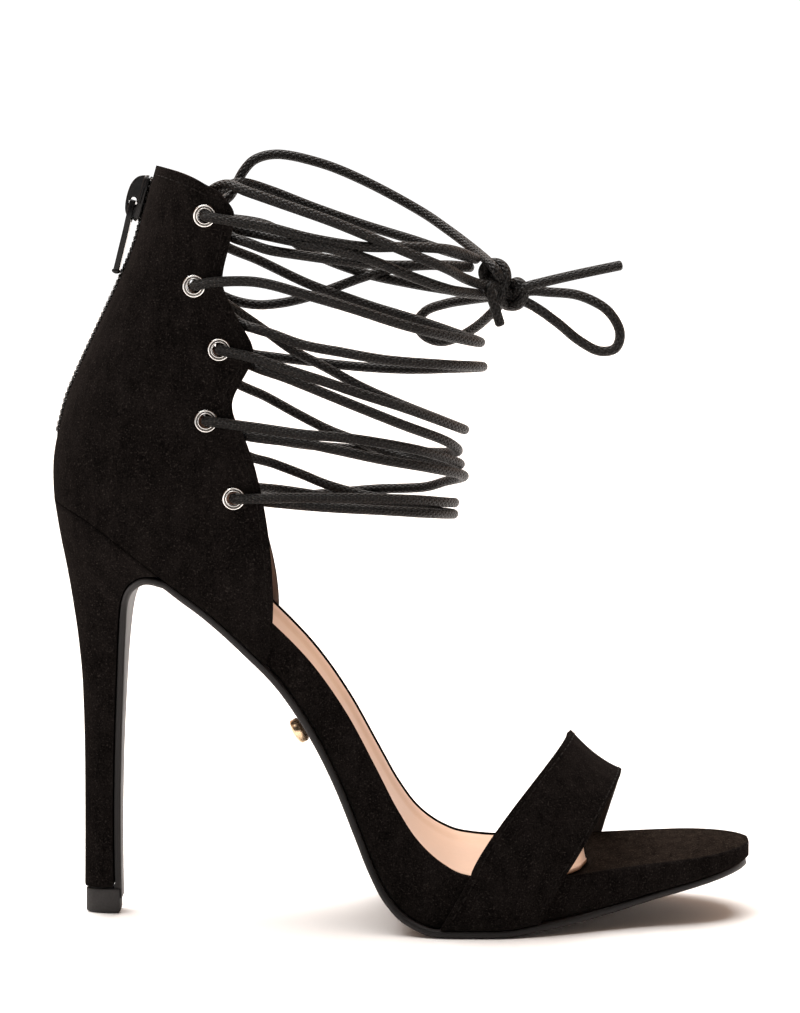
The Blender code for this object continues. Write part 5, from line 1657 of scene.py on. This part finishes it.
def eyelet_end(name, hand, way, first, second):
    """Points from the middle of an eyelet's hole to the counter's front edge, where a run goes on."""
    point, outward = eyelet_frame(name, hand)
    middle = point - outward * COUNTER_WALL / 2
    if way == OUT:
        forward = first - point
        forward = unit(forward - outward * forward.dot(outward))
        return [middle, point + outward * 1.2 + forward * 0.5, point + outward * 2.2 + forward * 2.8]
    deep = COUNTER_WALL + CORD / 2 + 0.3
    slope = (first[2] - second[2]) / (first[0] - second[0])
    x = first[0]
    while x > front_at(hand, first[2] + slope * (x - first[0]))[0]:
        x -= 0.2
    z = first[2] + slope * (x - first[0])
    crossing = np.array([x, front_at(hand, z)[1] - hand * deep, z])
    inside = point - outward * deep
    behind = lerp(inside, crossing, 0.55) - hand * np.array([0.0, 0.4, 0.0])
    return [middle, inside + (crossing - inside) * 0.12, behind, crossing]


def lace_run(name, run):
    """The full line of one run, from eyelet to eyelet."""
    layers, lateral, tip, medial = run
    ends = ("5", "5") if name == "bar" else (name.split("_")[1], name.split("_")[3])
    points = [np.array(p) for p in run_points(layers, lateral, tip, medial)]
    kept = []
    for point in points:
        hand, way = (LATERAL, layers[0]) if point[1] < 0 else (MEDIAL, layers[1])
        clear = 2.5 if way == IN else -3.5
        if point[0] > front_at(hand, point[2])[0] + clear:
            kept.append(point)
    first = eyelet_end(ends[0], LATERAL, layers[0], kept[0], kept[1])
    last = eyelet_end(ends[1], MEDIAL, layers[1], kept[-1], kept[-2])
    return [*first, *kept, *reversed(last)]


def tie_line(name, hand):
    points = [np.array(p) for p in tie_points(name, hand)]
    return [*eyelet_end("1", hand, OUT, points[1], points[2]), *points[1:]]


def add_cord(name, lines, surface, stands_for, spacing=0.75):
    """Lace tubes along lines, as one mesh that knows the way of its braid."""
    parts = [tube(smooth_path(line, spacing), CORD / 2) for line in lines]
    points, faces, braid = joined(parts)
    made = add_piece(name, points, faces, (surface,), stands_for)
    attribute = made.data.attributes.new("braid", "FLOAT_VECTOR", "POINT")
    attribute.data.foreach_set("vector", np.array(braid, float).ravel())
    return made


def add_lace(surface):
    routes = {name: lace_run(name, run) for name, run in LACE_RUNS.items()}
    routes["tie_lateral"] = tie_line("lateral", LATERAL)
    routes["tie_medial"] = tie_line("medial", MEDIAL)
    for group, names in LACE_GROUPS.items():
        add_cord("lace_" + group, [routes[name] for name in names], surface, ("lace_crossing_" + group,))
    add_cord("lace_knot_turns", KNOT_LINES, surface, ("lace_knot",), 0.5)
    add_bow(surface)


def add_bow(surface):
    for name, (nodes, line) in LACE_BOW.items():
        made = add_cord(name, [line], surface, nodes)
        path = metres(smooth_path(line, 1.0))


# Floor, light and camera
def add_floor():
    mesh = bpy.data.meshes.new("floor")
    corners = ((-1, -1), (1, -1), (1, 1), (-1, 1))
    mesh.from_pydata([(FLOOR_REACH * x, FLOOR_REACH * y, 0.0) for x, y in corners], [], [(0, 1, 2, 3)])
    s = Surface("floor_paper", 0.9, specular=0.1)
    cloud = s.noise(3.0, 2.0)
    s.to("Base Color", s.ramp(cloud, (0.3, (0.93, 0.925, 0.92)), (0.7, (0.95, 0.945, 0.94))))
    mesh.materials.append(s.material)
    made = new_object("floor", mesh)
    made.location = (0.0, 0.0, -FLOOR_DROP)


def aim(made, way):
    """Turn a lamp or the camera to face a way."""
    made.rotation_euler = Vector(way).to_track_quat("-Z", "Y").to_euler()


def add_room():
    """What surrounds the shoe: a white band at floor level, and above it dark in front and warm behind."""
    world = bpy.data.worlds.new("studio")
    world.use_nodes = True
    nodes = Nodes(world.node_tree, "Generated")
    behind = nodes.math("MULTIPLY_ADD", nodes.axis("Y"), 0.5, 0.5)
    dark, warm, glow = (0.03, 0.024, 0.02), (0.85, 0.58, 0.43), (1.2, 0.83, 0.62)
    room = nodes.ramp(behind, (0.2, dark), (0.58, warm), (0.94, glow), (0.97, 1.0))
    above = nodes.node("MapRange", **{"Value": nodes.axis("Z"), "From Min": 0.1, "From Max": 0.17})
    background = nodes.tree.nodes["Background"].inputs
    nodes.feed(background["Color"], nodes.mix(above.outputs["Result"], (1.0, 1.0, 1.0), room))
    nodes.feed(background["Strength"], 1.12)
    bpy.context.scene.world = world


def add_lights():
    """A broad soft lamp from above, and a small one above the heel on the camera's side."""
    data = bpy.data.lights.new("sun", "SUN")
    data.energy = 5.4
    data.color = (0.98, 1.0, 1.0)
    data.angle = math.radians(66)
    aim(new_object("sun", data), (0.2, -0.3, -0.93))
    data = bpy.data.lights.new("key", "AREA")
    data.shape = "DISK"
    data.size = 0.45
    data.energy = 3.0
    made = new_object("key", data)
    made.location = (-0.6, -0.5, 1.3)
    aim(made, Vector((0.0, 0.0, 0.1)) - made.location)


def add_camera():
    data = bpy.data.cameras.new("camera")
    data.lens = CAMERA_FOCAL / IMAGE_HEIGHT * data.sensor_width
    data.clip_start = 0.05
    made = new_object("camera", data)
    made.location = metres(CAMERA_PLACE)
    aim(made, Vector(metres(CAMERA_TARGET)) - Vector(metres(CAMERA_PLACE)))
    bpy.context.scene.camera = made


def main():
    bpy.context.scene.view_settings.view_transform = "Standard"
    add_camera()
    add_floor()
    add_room()
    add_lights()
    black = suede(
        "black_suede_nap",
        (0.0021, 0.0018, 0.0017),
        (0.011, 0.0091, 0.0084),
        (0.0225, 0.019, 0.0173),
    )
    bed = suede(
        "bed_suede_nap",
        (0.0014, 0.0011, 0.001),
        (0.02, 0.0152, 0.012),
        (0.04, 0.0315, 0.025),
        lay=(1.6, 0.7, 1.0),
        fleck_lay=(1.4, 0.6, 1.0),
    )
    tan = lining_leather("tan_sock_leather", (0.48, 0.3, 0.2), (0.57, 0.37, 0.255))
    lining = lining_leather("brown_lining_leather", (0.1, 0.06, 0.042), (0.18, 0.11, 0.078))
    dark_lining = lining_leather("dark_lining_leather", (0.02, 0.014, 0.011), (0.035, 0.025, 0.02))
    tread = sole_surface("sole_tread", (0.02, 0.0162, 0.0158), (0.034, 0.028, 0.027), 0.5)
    side = sole_surface("sole_edge", (0.006, 0.0052, 0.0052), (0.011, 0.0097, 0.0097), 0.5)
    # The lower rounded edge is a lighter copy of the edge's paint: a painted highlight along it.
    bevel_highlight = sole_surface("sole_edge_bevel_painted_highlight", (0.011, 0.0096, 0.0095), (0.02, 0.0177, 0.0174), 0.48)
    tip = rubber("tip_rubber_black", (0.017, 0.0155, 0.015), (0.03, 0.0275, 0.027))
    nickel = metal("nickel_plate", (0.8, 0.785, 0.76), 0.12, 0.14)
    tarnish = metal("nickel_groove", (0.13, 0.122, 0.114), 0.4, 0.2)
    gold = metal("gold_plate", (0.83, 0.61, 0.4), 0.2, 0.2)
    gloss = enamel("black_enamel", (0.006, 0.0058, 0.006), 0.12, 0.12, 0.06)
    tape = woven_tape("zip_tape", (0.006, 0.0056, 0.0056), (0.013, 0.012, 0.012), 0.25)
    coil = enamel("zip_coil_black", (0.008, 0.0078, 0.008), 0.38, 0.35, 0.2)
    thread = woven_tape("black_thread", (0.005, 0.004, 0.0035), (0.011, 0.0088, 0.0078), 0.06)
    waxed = waxed_braid("waxed_cord_braid")
    add_lace(waxed)
    add_outsole(tread, side, bevel_highlight)
    add_heel(black)
    add_heel_tip(tip)
    add_footbed(black, bed)
    add_insole(tan)
    add_strap(black, dark_lining)
    add_counter(black, lining)
    add_eyelets(nickel, tarnish)
    add_zip_chain(tape, coil)
    add_zip_slider(gloss)
    add_zip_pull(gloss)
    add_stud(gold)
    add_stitches(thread)


main()
